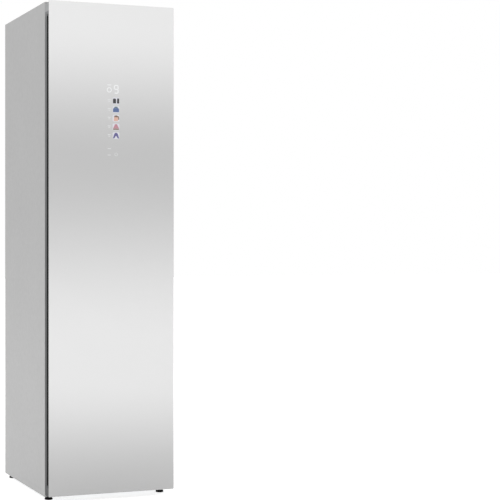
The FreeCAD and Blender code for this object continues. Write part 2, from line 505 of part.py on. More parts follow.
def hinge_brackets():
    """Lower and upper bracket: a leg on the cabinet's front and an arm that carries the pin."""
    x0, x1 = HINGE_X - ARM_REACH_LEFT, HINGE_X + ARM_REACH_RIGHT
    y0, y1 = HINGE_Y - ARM_NOSE, Y_CASE - ARM_GAP
    x_return, x_leg = X_SIDE - SIDE_RETURN - ARM_GAP, HINGE_X - LEG_FROM_AXIS
    plan = [(x0, Y_FRAME), (x0, HINGE_Y, ARM_NOSE), (x0 + ARM_NOSE, y0, ARM_CORNER), (x1, y0, ARM_END),
            (x1, y1), (x_return, y1), (x_return, Y_FRAME)]
    brackets = []
    for arm_z, leg_z in zip(arm_levels(), leg_levels()):
        arm = upright(plan, arm_z, arm_z + ARM_T)
        leg = box(x_leg - LEG_WIDTH, x_leg, Y_FRAME - ARM_T, Y_FRAME, leg_z, leg_z + LEG_HEIGHT)
        bore = cylinder(PIN_R, HINGE_X, HINGE_Y, arm_z, ARM_T)
        brackets.append(one([arm, leg]).cut(group([bore] + hinge_screw_holes(Y_FRAME - ARM_T, ARM_T))))
    return group(brackets)


def hinge_pins():
    """One pin stands up from the lower arm, the other hangs down from the upper arm."""
    low, high = arm_levels()
    length = ARM_T + ARM_GAP + PIN_LENGTH
    return group([cylinder(PIN_R, HINGE_X, HINGE_Y, z, length) for z in (low, high + ARM_T - length)])


def hinge_bushes():
    return group([ring(BUSH_R, PIN_R + RUNNING, HINGE_X, HINGE_Y, z, PIN_LENGTH) for z in bush_levels()])


# --------------------------------------------------------------------------------------------------
# Door
# --------------------------------------------------------------------------------------------------
def door_glass():
    pane = box(-X_SIDE, X_SIDE, Y_FRONT, Y_GLASS_BACK, GLASS_BOTTOM, Z_GLASS_TOP)
    return pane.makeChamfer(GLASS_BEVEL, [e for e in pane.Edges if abs(e.CenterOfMass.y - Y_FRONT) < 1e-6])


def door_grip_profile():
    """Free-edge profile: a closed box section with a finger groove, open to the left, cut into it."""
    x0, x1 = -X_SIDE, X_GRIP_PROFILE
    y_groove = Y_GLASS_BACK + GRIP_BEHIND_GLASS
    y_web = y_groove + GRIP_WIDTH + PROFILE_WALL
    body = box(x0, x1, Y_GLASS_BACK, Y_DOOR_BACK, Z_CAP_BOTTOM_TOP, Z_CAP_TOP_UNDER)
    hollow = box(x0 + PROFILE_WALL, x1 - PROFILE_WALL, y_web, Y_DOOR_BACK - PROFILE_WALL,
                 Z_CAP_BOTTOM_TOP, Z_CAP_TOP_UNDER)
    groove = box(x0 - THROUGH, x0 + GRIP_DEPTH, y_groove, y_groove + GRIP_WIDTH,
                 GLASS_BOTTOM + GRIP_BOTTOM_MARGIN, Z_GLASS_TOP - GRIP_TOP_MARGIN)
    return body.cut(group([hollow, groove]))


def door_hinge_profile():
    """Hinge-side profile: a closed box section."""
    x0, x1, wall = X_HINGE_PROFILE, X_SIDE, PROFILE_WALL
    body = box(x0, x1, Y_GLASS_BACK, Y_DOOR_BACK, Z_CAP_BOTTOM_TOP, Z_CAP_TOP_UNDER)
    hollow = box(x0 + wall, x1 - wall, Y_GLASS_BACK + wall, Y_DOOR_BACK - wall,
                 Z_CAP_BOTTOM_TOP, Z_CAP_TOP_UNDER)
    return body.cut(hollow)


def door_cap(z0, hollow_z0, bush_z):
    """End cap of the door body: a tray open towards the foam, with a solid boss round the hinge bush."""
    wall, z1 = CAP_WALL, z0 + CAP_HEIGHT
    cap = box(-X_SIDE, X_SIDE, Y_GLASS_BACK, Y_DOOR_BACK, z0, z1)
    hollow = box(-X_SIDE + wall, X_SIDE - wall, Y_GLASS_BACK + wall, Y_DOOR_BACK - wall,
                 hollow_z0, hollow_z0 + CAP_HEIGHT - wall)
    boss = box(HINGE_X - ARM_REACH_LEFT - ARM_GAP - wall, X_SIDE, Y_GLASS_BACK, Y_DOOR_BACK, z0, z1)
    return one([cap.cut(hollow), boss]).cut(cylinder(BUSH_R, HINGE_X, HINGE_Y, bush_z, PIN_LENGTH))


def door_cap_top():
    return door_cap(Z_CAP_TOP_UNDER, Z_CAP_TOP_UNDER, bush_levels()[1])


def door_cap_bottom():
    """The lower cap has a pocket, open to the right and the back, in which the hinge arm turns."""
    pocket_top = bush_levels()[0]
    pocket = box(HINGE_X - ARM_REACH_LEFT - ARM_GAP, X_SIDE + THROUGH, Y_GLASS_BACK + POCKET_WALL,
                 Y_DOOR_BACK + THROUGH, GLASS_BOTTOM - THROUGH, pocket_top)
    return door_cap(GLASS_BOTTOM, GLASS_BOTTOM + CAP_WALL, pocket_top).cut(pocket)


def dyke_prism(inset, y0, y1):
    """Prism over the raised rim's outline, made smaller by an inset."""
    radius = max(CHAMBER_CORNER - inset, LINER_T)
    return rounded_box(-X_DYKE + inset, X_DYKE - inset, y0, y1, Z_DYKE + inset, Z_DYKE_TOP - inset,
                       radius, Y_AXIS)


def door_liner():
    """Moulded inner skin in two parts, with a seam before the frame's middle rail: an upper one with a
    raised rim, which enters the chamber's mouth, round a dished middle, and a flat one over the tanks."""
    y_flange, y_rim, y_dish = Y_DOOR_BACK - LINER_T, Y_DOOR_BACK + DYKE_HEIGHT, Y_DOOR_BACK - DISH_DEPTH
    y_front = y_dish - LINER_T
    flange = box(X_GRIP_PROFILE, X_HINGE_PROFILE, y_flange, Y_DOOR_BACK, Z_CAP_BOTTOM_TOP, Z_CAP_TOP_UNDER)
    inner_wall = dyke_prism(DYKE_WIDTH - LINER_T, y_front, y_rim)
    trough = dyke_prism(LINER_T, y_front, y_rim - LINER_T).cut(inner_wall)
    before_flange = dyke_prism(0, y_front, y_flange).cut(inner_wall)
    dish = dyke_prism(DYKE_WIDTH, y_dish, y_rim)
    seam = box(-X_SIDE, X_SIDE, y_flange - THROUGH, Y_DOOR_BACK + THROUGH,
               Z_LINER_SEAM - FIT / 2, Z_LINER_SEAM + FIT / 2)
    return one([flange, dyke_prism(0, y_front, y_rim)]).cut(group([trough, dish])).cut(before_flange).cut(seam)


def door_foam():
    """Insulation between the glass and the liner, with a pocket for the touch board."""
    y_rim, y_dish = Y_DOOR_BACK + DYKE_HEIGHT - LINER_T - FIT, Y_DOOR_BACK - DISH_DEPTH - LINER_T
    core = box(X_GRIP_PROFILE, X_HINGE_PROFILE, Y_GLASS_BACK, Y_DOOR_BACK - LINER_T,
               Z_CAP_BOTTOM_TOP, Z_CAP_TOP_UNDER)
    rim = dyke_prism(LINER_T + FIT, Y_DOOR_BACK - LINER_T, y_rim)
    dish = dyke_prism(DYKE_WIDTH - LINER_T - FIT, y_dish, y_rim)
    return one([core, rim]).cut(group([dish, board_box(FIT)]))


def board_box(margin):
    """The touch board, or with a margin its pocket in the foam."""
    w, h = TOUCH_BOARD_W / 2 + margin, TOUCH_BOARD_H / 2 + margin
    z = HEIGHT - TOUCH_BOARD_DROP
    return box(TOUCH_BOARD_X - w, TOUCH_BOARD_X + w, Y_GLASS_BACK, Y_GLASS_BACK + TOUCH_BOARD_T + margin,
               z - h, z + h)


def door_gasket():
    """Magnetic seal round the chamber and the tanks."""
    x1, y1 = X_SIDE - SIDE_RETURN - GASKET_EDGE, Y_FRAME - FIT
    x0 = x1 - GASKET_WIDTH
    z0, z1 = GLASS_BOTTOM + GASKET_SILL, CEILING + GASKET_ABOVE
    outer = rounded_box(-x1, x1, Y_DOOR_BACK, y1, z0, z1, GASKET_WIDTH, Y_AXIS)
    inner = rounded_box(-x0, x0, Y_DOOR_BACK, y1, z0 + GASKET_WIDTH, z1 - GASKET_WIDTH,
                        GASKET_WIDTH / 2, Y_AXIS)
    return outer.cut(inner)


# --------------------------------------------------------------------------------------------------
# Chamber
# --------------------------------------------------------------------------------------------------
def chamber_prism(inset, z0, z1):
    """Upright prism of the liner's plan, square at the front and round at the back, less an inset."""
    x, y, corner = X_LINER - inset, Y_LINER_BACK - inset, CHAMBER_CORNER + LINER_T - inset
    return upright([(-x, Y_INSIDE), (x, Y_INSIDE), (x, y, corner), (-x, y, corner)], z0, z1)


def post_slots(z0, z1):
    """Slots for the hanger bar's posts, long enough for their travel."""
    half = POST_R + POST_GAP
    return [rounded_box(x - half - SHAKE, x + half + SHAKE, BAR_Y - half, BAR_Y + half, z0, z1,
                        2 * SLOT_END * half) for x in (-POST_X, POST_X)]


def chamber_liner():
    """Moulded inner walls and ceiling, with four pegs for the shelf."""
    shell = chamber_prism(0, FLOOR_UNDER, CEILING + LINER_T).cut(chamber_prism(LINER_T, FLOOR_UNDER, CEILING))
    z = SHELF_UNDER - FIT - PEG_R
    pegs = [cylinder(PEG_R, x, y, z, PEG_LENGTH + LINER_T, X_AXIS) for x in (-X_LINER, X_CHAMBER - PEG_LENGTH)
            for y in (Y_INSIDE + PEG_FRONT, Y_CHAMBER_BACK - PEG_REAR)]
    return one([shell] + pegs).cut(group(post_slots(CEILING - THROUGH, Z_PLATE)))


def insulation_pads():
    """Felt pads between the liner and the casing, short of the case screws' tips: sides, back and top."""
    z0, z1 = FLOOR_UNDER, CEILING + LINER_T
    y1 = Y_CASE_BACK - SCREW_LENGTH - FIT
    side = box(-X_CORE, -X_LINER, Y_INSIDE, y1, z0, z1)
    back = box(-X_LINER, X_LINER, Y_LINER_BACK, Y_PANEL_IN, z0, z1)
    top = box(-X_CORE, X_CORE, Y_INSIDE, y1, z1, Z_PLATE).cut(group(post_slots(z1, Z_PLATE)))
    return group([side, mirrored(side), back, top])


def chamber_floor():
    """Moulded floor over the machine room, open for the filter, the warm air and the steam nozzle."""
    z0, z1 = FLOOR_UNDER - THROUGH, CHAMBER_FLOOR + THROUGH
    air_w, air_d = GRILLE_W - 2 * GRILLE_LIP, GRILLE_D - 2 * GRILLE_LIP
    holes = [centred_box(FILTER_X, FILTER_Y, FILTER_W + 2 * FIT, FILTER_D + 2 * FIT, z0, z1, FILTER_LIP / 2),
             centred_box(GRILLE_X, GRILLE_Y, air_w, air_d, z0, z1, GRILLE_LIP),
             cylinder(NOZZLE_STEM_R + FIT, NOZZLE_X, NOZZLE_Y, z0, z1 - z0)]
    return chamber_prism(LINER_T + FIT, FLOOR_UNDER, CHAMBER_FLOOR).cut(group(holes))


def air_outlet_grille():
    """Louvred cover of the warm air outlet."""
    z0, z1 = CHAMBER_FLOOR, CHAMBER_FLOOR + GRILLE_T
    frame = centred_box(GRILLE_X, GRILLE_Y, GRILLE_W, GRILLE_D, z0, z1, GRILLE_LIP)
    pitch = (GRILLE_W - 2 * GRILLE_LIP) / GRILLE_SLATS
    half = GRILLE_D / 2 - 2 * GRILLE_LIP
    gaps = []
    for i in range(GRILLE_SLATS):
        x = GRILLE_X - GRILLE_W / 2 + GRILLE_LIP + pitch * (i + 0.25)
        gaps.append(box(x, x + pitch / 2, GRILLE_Y - half, GRILLE_Y + half, z0 - THROUGH, z1 + THROUGH))
    return frame.cut(group(gaps))


def steam_nozzle():
    """Low dome with side ports on a stem that passes through the floor."""
    x, y, z = NOZZLE_X, NOZZLE_Y, CHAMBER_FLOOR
    dome = cylinder(NOZZLE_R, x, y, z, NOZZLE_H)
    dome = dome.makeFillet(NOZZLE_EDGE, circles_at(dome, Z_AXIS, z + NOZZLE_H))
    z_stem = FLOOR_UNDER - NOZZLE_STEM_L
    stem = cylinder(NOZZLE_STEM_R, x, y, z_stem, z - z_stem)
    bore = cylinder(NOZZLE_BORE_R, x, y, z_stem, z - z_stem + NOZZLE_PORT_TOP)
    ports = []
    for k in range(NOZZLE_PORTS):
        port = box(x, x + NOZZLE_R + THROUGH, y - NOZZLE_PORT_W / 2, y + NOZZLE_PORT_W / 2,
                   z + NOZZLE_PORT_SILL, z + NOZZLE_PORT_TOP)
        port.rotate(V(x, y, 0), Z_AXIS, 360.0 * k / NOZZLE_PORTS)
        ports.append(port)
    return one([dome, stem]).cut(group([bore] + ports))


def filter_grip(z):
    """Grip bow over the middle of the filter, with a foot across its window."""
    w, d, t, x, y = FILTER_GRIP_W / 2, FILTER_GRIP_D / 2, FILTER_GRIP_T, FILTER_X, FILTER_Y
    bow = box(x - w, x + w, y - d, y + d, z - FILTER_LIP_T, z + FILTER_GRIP_H)
    top = [e for e in edges_along(bow, Y_AXIS) if abs(e.CenterOfMass.z - z - FILTER_GRIP_H) < 1e-6]
    gap = rounded_box(x - w + t, x + w - t, y - d - THROUGH, y + d + THROUGH, z, z + FILTER_GRIP_H - t,
                      FILTER_GRIP_CORNER, Y_AXIS)
    return bow.makeFillet(t, top).cut(gap)


def lint_filter():
    """Drop-in filter cassette with a grip bow, and its mesh as thin sheets inside."""
    z0, z1 = CHAMBER_FLOOR - FILTER_H, CHAMBER_FLOOR + FILTER_LIP_T
    body = centred_box(FILTER_X, FILTER_Y, FILTER_W, FILTER_D, z0, z1, FILTER_LIP / 2)
    lip = centred_box(FILTER_X, FILTER_Y, FILTER_W + 2 * FILTER_LIP, FILTER_D + 2 * FILTER_LIP,
                      CHAMBER_FLOOR, z1, FILTER_LIP)
    pane = (FILTER_W - FILTER_BAR * (FILTER_WINDOWS + 1)) / FILTER_WINDOWS
    half = FILTER_D / 2 - FILTER_BAR
    windows, meshes = [], []
    for i in range(FILTER_WINDOWS):
        x = FILTER_X - FILTER_W / 2 + FILTER_BAR + i * (pane + FILTER_BAR)
        sides = (x, x + pane, FILTER_Y - half, FILTER_Y + half)
        windows.append(box(*sides, z0 - THROUGH, z1 + THROUGH))
        meshes.append(box(*sides, z0 + FILTER_MESH_T, z0 + 2 * FILTER_MESH_T))
    frame = one([body, lip]).cut(group(windows))
    return group([one([frame, filter_grip(z1)])] + meshes)


def shelf():
    """Slatted shelf that lies on the liner's pegs."""
    x = X_CHAMBER - SHELF_SIDE_GAP
    y0, y1 = Y_INSIDE + SHELF_FRONT_GAP, Y_CHAMBER_BACK - SHELF_REAR_GAP
    z0, z1 = SHELF_UNDER, SHELF_UNDER + SHELF_T
    plate = rounded_box(-x, x, y0, y1, z0, z1, CHAMBER_CORNER)
    pitch = 2 * (x - SHELF_BAR) / SHELF_SLATS
    width = (1 - SLAT_SHARE) * pitch
    middle, end_bar = (y0 + y1) / 2, 2 * SHELF_BAR
    fields = ((y0 + end_bar, middle - SHELF_BAR / 2), (middle + SHELF_BAR / 2, y1 - end_bar))
    gaps = []
    for i in range(SHELF_SLATS):
        gx = -x + SHELF_BAR + pitch * i + (pitch - width) / 2
        gaps += [rounded_box(gx, gx + width, g0, g1, z0 - THROUGH, z1 + THROUGH, SLOT_END * width)
                 for g0, g1 in fields]
    return plate.cut(group(gaps))


def chamber_lamp():
    """Light strip under the ceiling."""
    y = Y_INSIDE + LAMP_SETBACK
    return centred_box(0, y, LAMP_LENGTH, LAMP_W, CEILING - LAMP_T, CEILING, LAMP_CORNER)


# --------------------------------------------------------------------------------------------------
# Hanger drive
# --------------------------------------------------------------------------------------------------
def rod_bores(radius, length):
    """The two guide rods, or the bores for them."""
    return [cylinder(radius, -length / 2, BAR_Y + side * ROD_SPACING / 2, Z_ROD, length, X_AXIS)
            for side in (-1, 1)]


def drive_plate():
    """Steel plate over the chamber with the rods' end blocks and the crank's bearing post."""
    plate = box(-X_CORE, X_CORE, Y_INSIDE, Y_PANEL_IN, Z_PLATE, Z_PLATE_TOP)
    blocks = []
    for side_x in (-1, 1):
        for side_y in (-1, 1):
            x, y = side_x * (ROD_LENGTH - BLOCK_W) / 2, BAR_Y + side_y * ROD_SPACING / 2
            blocks.append(box(x - BLOCK_W / 2, x + BLOCK_W / 2, y - BLOCK_D / 2, y + BLOCK_D / 2,
                              Z_PLATE_TOP, Z_ROD + BLOCK_CAP))
    post = cylinder(CRANK_POST_R, 0, CRANK_Y, Z_PLATE_TOP, PULLEY_HEIGHT - PULLEY_GAP)
    bore = cylinder(CRANK_SHAFT_R + RUNNING, 0, CRANK_Y, Z_PLATE_TOP, PULLEY_HEIGHT)
    holes = rod_bores(ROD_R, ROD_LENGTH) + post_slots(Z_PLATE - THROUGH, Z_PLATE_TOP + THROUGH)
    return one([plate, post] + blocks).cut(group([bore] + holes))


def guide_rods():
    return group(rod_bores(ROD_R, ROD_LENGTH))


def hanger_carriage():
    """Plate on four bushings that runs along the rods, with the slotted yoke over the crank."""
    plate = centred_box(0, BAR_Y, CARRIAGE_LENGTH, CARRIAGE_DEPTH, Z_CARRIAGE, Z_CARRIAGE + CARRIAGE_T,
                        CARRIAGE_CORNER)
    bushings = []
    for side_x in (-1, 1):
        for side_y in (-1, 1):
            x, y = side_x * BUSHING_X - BUSHING_LENGTH / 2, BAR_Y + side_y * ROD_SPACING / 2
            bushings.append(cylinder(BUSHING_R, x, y, Z_ROD, BUSHING_LENGTH, X_AXIS))
            bushings.append(box(x, x + BUSHING_LENGTH, y - BUSHING_NECK / 2, y + BUSHING_NECK / 2,
                                Z_ROD, Z_CARRIAGE))
    y_web = BAR_Y + CARRIAGE_DEPTH / 2 - YOKE_T
    web = box(-YOKE_W / 2, YOKE_W / 2, y_web, y_web + YOKE_T, Z_CARRIAGE, Z_YOKE + YOKE_T)
    arm = box(-YOKE_W / 2, YOKE_W / 2, y_web, CRANK_Y + SHAKE + YOKE_END, Z_YOKE, Z_YOKE + YOKE_T)
    half = CRANK_PIN_R + FIT
    reach = SHAKE + half + THROUGH
    slot = rounded_box(-half, half, CRANK_Y - reach, CRANK_Y + reach, Z_YOKE - THROUGH,
                       Z_YOKE + YOKE_T + THROUGH, 2 * SLOT_END * half)
    cuts = rod_bores(ROD_R + RUNNING, CARRIAGE_LENGTH) + [slot]
    return one([plate, web, arm] + bushings).cut(group(cuts))


def hanger_bar():
    """Round bar with a turned seat for each hook, on two posts from the carriage."""
    bar = cylinder(BAR_R, -BAR_LENGTH / 2, BAR_Y, BAR_Z, BAR_LENGTH, X_AXIS)
    ends = circles_at(bar, X_AXIS, -BAR_LENGTH / 2) + circles_at(bar, X_AXIS, BAR_LENGTH / 2)
    first = -HOOK_PITCH * (HOOK_SEATS - 1) / 2
    seats = [ring(BAR_R + THROUGH, HOOK_SEAT_R, first + HOOK_PITCH * k - HOOK_SEAT_W / 2, BAR_Y, BAR_Z,
                  HOOK_SEAT_W, X_AXIS) for k in range(HOOK_SEATS)]
    posts = [cylinder(POST_R, x, BAR_Y, BAR_Z, Z_CARRIAGE - BAR_Z) for x in (-POST_X, POST_X)]
    return one([bar.makeFillet(BAR_EDGE, ends).cut(group(seats))] + posts)


def pulley(radius, x, y):
    """Flat belt pulley with a rim at each face."""
    rims = [cylinder(radius + PULLEY_RIM, x, y, z, PULLEY_RIM_W)
            for z in (Z_PULLEY, Z_PULLEY + PULLEY_W - PULLEY_RIM_W)]
    return [cylinder(radius, x, y, Z_PULLEY, PULLEY_W)] + rims


def crank_pulley():
    """Driven pulley with its shaft below and the eccentric pin above."""
    shaft = cylinder(CRANK_SHAFT_R, 0, CRANK_Y, Z_PLATE_TOP + PULLEY_GAP, PULLEY_HEIGHT - PULLEY_GAP)
    pin = cylinder(CRANK_PIN_R, 0, CRANK_Y + SHAKE, Z_PULLEY + PULLEY_W, CRANK_PIN_H)
    return one(pulley(CRANK_R, 0, CRANK_Y) + [shaft, pin])


def motor_pulley():
    z = Z_PLATE_TOP + MOTOR_H - MOTOR_SHAFT_DEPTH
    shaft = cylinder(MOTOR_SHAFT_R, MOTOR_X, MOTOR_Y, z, Z_PULLEY - z)
    return one(pulley(MOTOR_PULLEY_R, MOTOR_X, MOTOR_Y) + [shaft])


def shaker_motor():
    """Flat motor on the drive plate, bored for the motor pulley's shaft."""
    body = cylinder(MOTOR_R, MOTOR_X, MOTOR_Y, Z_PLATE_TOP, MOTOR_H)
    body = body.makeFillet(MOTOR_EDGE, circles_at(body, Z_AXIS, Z_PLATE_TOP + MOTOR_H))
    depth = MOTOR_SHAFT_DEPTH + PULLEY_GAP
    return body.cut(cylinder(MOTOR_SHAFT_R + RUNNING, MOTOR_X, MOTOR_Y, Z_PLATE_TOP + MOTOR_H - depth, depth))


def belt_face(margin):
    """Face inside an open belt that runs round both pulleys at a distance from them."""
    r_crank, r_motor = CRANK_R + margin, MOTOR_PULLEY_R + margin
    a, b = V(0, CRANK_Y, 0), V(MOTOR_X, MOTOR_Y, 0)
    along = (b - a).normalize()
    side = V(-along.y, along.x, 0)
    lean = (r_crank - r_motor) / (b - a).Length
    level = math.sqrt(1 - lean * lean)
    up, down = along * lean + side * level, along * lean - side * level
    edges = [Part.LineSegment(a + up * r_crank, b + up * r_motor).toShape(),
             Part.Arc(b + up * r_motor, b + along * r_motor, b + down * r_motor).toShape(),
             Part.LineSegment(b + down * r_motor, a + down * r_crank).toShape(),
             Part.Arc(a + down * r_crank, a - along * r_crank, a + up * r_crank).toShape()]
    return Part.Face(Part.Wire(edges))


def drive_belt():
    width = PULLEY_W - 2 * PULLEY_RIM_W - 2 * FIT
    belt = belt_face(FIT + BELT_T).cut(belt_face(FIT)).extrude(V(0, 0, width))
    belt.translate(V(0, 0, Z_PULLEY + PULLEY_RIM_W + FIT))
    return belt


def control_box():
    """Housing of the main board, above the chamber at the back."""
    x, y = X_CORE - CONTROL_SIDE_GAP - CONTROL_W / 2, Y_PANEL_IN - CONTROL_REAR_GAP - CONTROL_D / 2
    return centred_box(x, y, CONTROL_W, CONTROL_D, Z_PLATE_TOP, Z_PLATE_TOP + CONTROL_H, CONTROL_CORNER)


# --------------------------------------------------------------------------------------------------
# Hangers
# --------------------------------------------------------------------------------------------------
def polar(centre, radius, degrees):
    """Point on a circle in the plane of Y and Z."""
    a = math.radians(degrees)
    return centre + V(0, radius * math.cos(a), radius * math.sin(a))


def hook(x):
    """Wire hook round the bar's seat, brought back to the middle and down to the hanger's neck."""
    r = HOOK_SEAT_R + FIT + HOOK_WIRE_R
    centre = V(x, BAR_Y, BAR_Z)
    turn = HOOK_BACK - 180.0                     # between the arc round the bar and the upright stem
    lean = math.radians(turn)
    turn_r = r * math.cos(lean) / (1 - math.cos(lean))
    turn_centre = polar(centre, r + turn_r, HOOK_BACK)
    stem_top = polar(turn_centre, turn_r, 0)
    stem_end = stem_top - Z_AXIS * HOOK_STEM
    tip, back = polar(centre, r, HOOK_TIP), polar(centre, r, HOOK_BACK)
    path = Part.Wire([Part.Arc(tip, polar(centre, r, (HOOK_TIP + HOOK_BACK) / 2), back).toShape(),
                      Part.Arc(back, polar(turn_centre, turn_r, turn / 2), stem_top).toShape(),
                      Part.LineSegment(stem_top, stem_end).toShape()])
    start = polar(V(0, 0, 0), 1, HOOK_TIP + 90)
    section = Part.Wire(Part.makeCircle(HOOK_WIRE_R, tip, start))
    return path.makePipeShell([section], True, False), stem_end.z


def hanger(x):
    """Hanger with a wire hook let into the neck of a moulded shoulder piece."""
    wire, z_end = hook(x)
    top = z_end + HOOK_IN_NECK

    def p(y, drop):
        return V(0, BAR_Y + y, top - drop)

    half, drop, neck, low = HANGER_HALF, HANGER_DROP, HANGER_NECK_HALF, HANGER_DROP + 0.8 * HANGER_BAND
    right = [Part.LineSegment(p(HANGER_NECK_TOP_HALF, 0), p(neck, HANGER_NECK_H)),
             Part.Arc(p(neck, HANGER_NECK_H), p(half / 2, HANGER_NECK_H + HANGER_RISE), p(half, drop)),
             Part.Arc(p(half, drop), p(half + HANGER_TIP, drop + HANGER_BAND / 2), p(half - HANGER_END, low))]
    under = Part.Arc(p(half - HANGER_END, low), p(0, HANGER_NECK_H + HANGER_BAND), p(-half + HANGER_END, low))
    right = [curve.toShape() for curve in right]
    left = [edge.mirror(V(0, BAR_Y, 0), Y_AXIS) for edge in reversed(right)]
    crown = Part.LineSegment(p(-HANGER_NECK_TOP_HALF, 0), p(HANGER_NECK_TOP_HALF, 0)).toShape()
    body = Part.Face(Part.Wire(right + [under.toShape()] + left + [crown])).extrude(V(HANGER_T, 0, 0))
    body.translate(V(x - HANGER_T / 2, 0, 0))
    return group([wire, body.cut(wire)])


# --------------------------------------------------------------------------------------------------
# Water tanks
# --------------------------------------------------------------------------------------------------
def tank_bay():
    """Open-fronted box for the two tanks, with a divider between them and a port for each spigot."""
    wall = LINER_T
    outer = box(-X_BAY, X_BAY, Y_INSIDE, Y_BAY_BACK, BAY_BOTTOM, BAY_TOP)
    inner = box(-X_BAY + wall, X_BAY - wall, Y_INSIDE - THROUGH, Y_BAY_BACK - wall,
                BAY_BOTTOM + wall, BAY_TOP - wall)
    divider = box(-wall / 2, wall / 2, Y_TANK, Y_BAY_BACK, BAY_BOTTOM, BAY_TOP)
    ports = [cylinder(SPIGOT_R + 2 * FIT, x, Y_BAY_BACK - wall - THROUGH, Z_SPIGOT,
                      wall + 2 * THROUGH, Y_AXIS) for x in (-TANK_X, TANK_X)]
    return one([outer.cut(inner), divider]).cut(group(ports))


def tank_box(x, inset, z0, z1, corner):
    """Upright prism of a tank's plan, made smaller by an inset."""
    return centred_box(x, Y_TANK + TANK_D / 2, TANK_W - 2 * inset, TANK_D - 2 * inset, z0, z1, corner)


def tank(x):
    """Open tank with a finger pocket in its front and a valve spigot low on its back."""
    z0, z1, wall = Z_TANK, Z_TANK + TANK_H, TANK_WALL
    shell = tank_box(x, 0, z0, z1, TANK_CORNER).cut(tank_box(x, wall, z0 + wall, z1, TANK_CORNER - wall))
    w, y, top = TANK_GRIP_W / 2, Y_TANK + TANK_GRIP_D, z1 - TANK_GRIP_DROP
    pocket = rounded_box(x - w, x + w, Y_TANK - THROUGH, y, top - TANK_GRIP_H, top, TANK_GRIP_CORNER, Y_AXIS)
    pocket_wall = box(x - w - wall, x + w + wall, Y_TANK, y + wall, top - TANK_GRIP_H - wall, top + wall)
    y_wall = Y_TANK + TANK_D - wall / 2
    spigot = cylinder(SPIGOT_R, x, y_wall, Z_SPIGOT, wall / 2 + SPIGOT_LENGTH, Y_AXIS)
    return one([shell, pocket_wall, spigot]).cut(pocket)


def tank_lid(x):
    """Lid that plugs into the tank, with a round cap."""
    z, inset, corner = Z_TANK + TANK_H, TANK_WALL + FIT, TANK_CORNER
    plate = tank_box(x, 0, z, z + LID_T, corner)
    plug = tank_box(x, inset, z - LID_RIM, z, corner - inset)
    hollow = tank_box(x, inset + TANK_WALL, z - LID_RIM, z, corner - inset - TANK_WALL)
    return one([plate, plug.cut(hollow), cylinder(LID_CAP_R, x, Y_TANK + TANK_D / 2, z + LID_T, LID_CAP_H)])


# --------------------------------------------------------------------------------------------------
# Heat pump and blower
# --------------------------------------------------------------------------------------------------
def air_duct():
    """Open-topped duct under the floor that holds both coils, with the blower's inlet in its back wall."""
    wall = LINER_T
    outer = box(DUCT_X0, DUCT_X1, Y_DUCT, Y_DUCT_BACK, DUCT_BOTTOM, FLOOR_UNDER)
    inner = box(DUCT_X0 + wall, DUCT_X1 - wall, Y_DUCT + wall, Y_DUCT_BACK - wall,
                DUCT_BOTTOM + wall, FLOOR_UNDER)
    inlet = cylinder(BLOWER_INLET_R, BLOWER_X, Y_DUCT_BACK - wall - THROUGH, BLOWER_Z,
                     wall + 2 * THROUGH, Y_AXIS)
    return outer.cut(group([inner, inlet]))


def coil(y0):
    """Finned coil on the duct's floor: upright fins on straight tubes, its front face at y0."""
    x0, x1 = DUCT_X0 + LINER_T + COIL_SIDE_GAP, DUCT_X1 - LINER_T - COIL_SIDE_GAP
    z0 = DUCT_BOTTOM + LINER_T
    pitch, rise = (x1 - x0 - COIL_FIN_T) / (COIL_FINS - 1), COIL_H / COIL_TUBE_ROWS
    fins = [box(x0 + i * pitch, x0 + i * pitch + COIL_FIN_T, y0, y0 + COIL_D, z0, z0 + COIL_H)
            for i in range(COIL_FINS)]
    tubes = [cylinder(COIL_TUBE_R, x0, y0 + COIL_D / 2, z0 + rise * (row + 0.5), x1 - x0, X_AXIS)
             for row in range(COIL_TUBE_ROWS)]
    return one(fins + tubes)


def blower_shell(inset, top):
    """Round drum and upward outlet, made smaller by an inset."""
    y0, y1, r = Y_DUCT_BACK + inset, Y_BLOWER_BACK - inset, BLOWER_R - inset
    drum = cylinder(r, BLOWER_X, y0, BLOWER_Z, y1 - y0, Y_AXIS)
    x0 = BLOWER_X - BLOWER_R
    return one([drum, box(x0 + inset, x0 + BLOWER_OUTLET_W - inset, y0, y1, BLOWER_Z, top)])


def blower_housing():
    inlet = cylinder(BLOWER_INLET_R, BLOWER_X, Y_DUCT_BACK - THROUGH, BLOWER_Z, LINER_T + 2 * THROUGH, Y_AXIS)
    shaft = cylinder(BLOWER_SHAFT_HOLE_R, BLOWER_X, Y_BLOWER_BACK - LINER_T - THROUGH, BLOWER_Z,
                     LINER_T + 2 * THROUGH, Y_AXIS)
    hollow = blower_shell(LINER_T, FLOOR_UNDER + THROUGH)
    return blower_shell(0, FLOOR_UNDER).cut(group([hollow, inlet, shaft]))


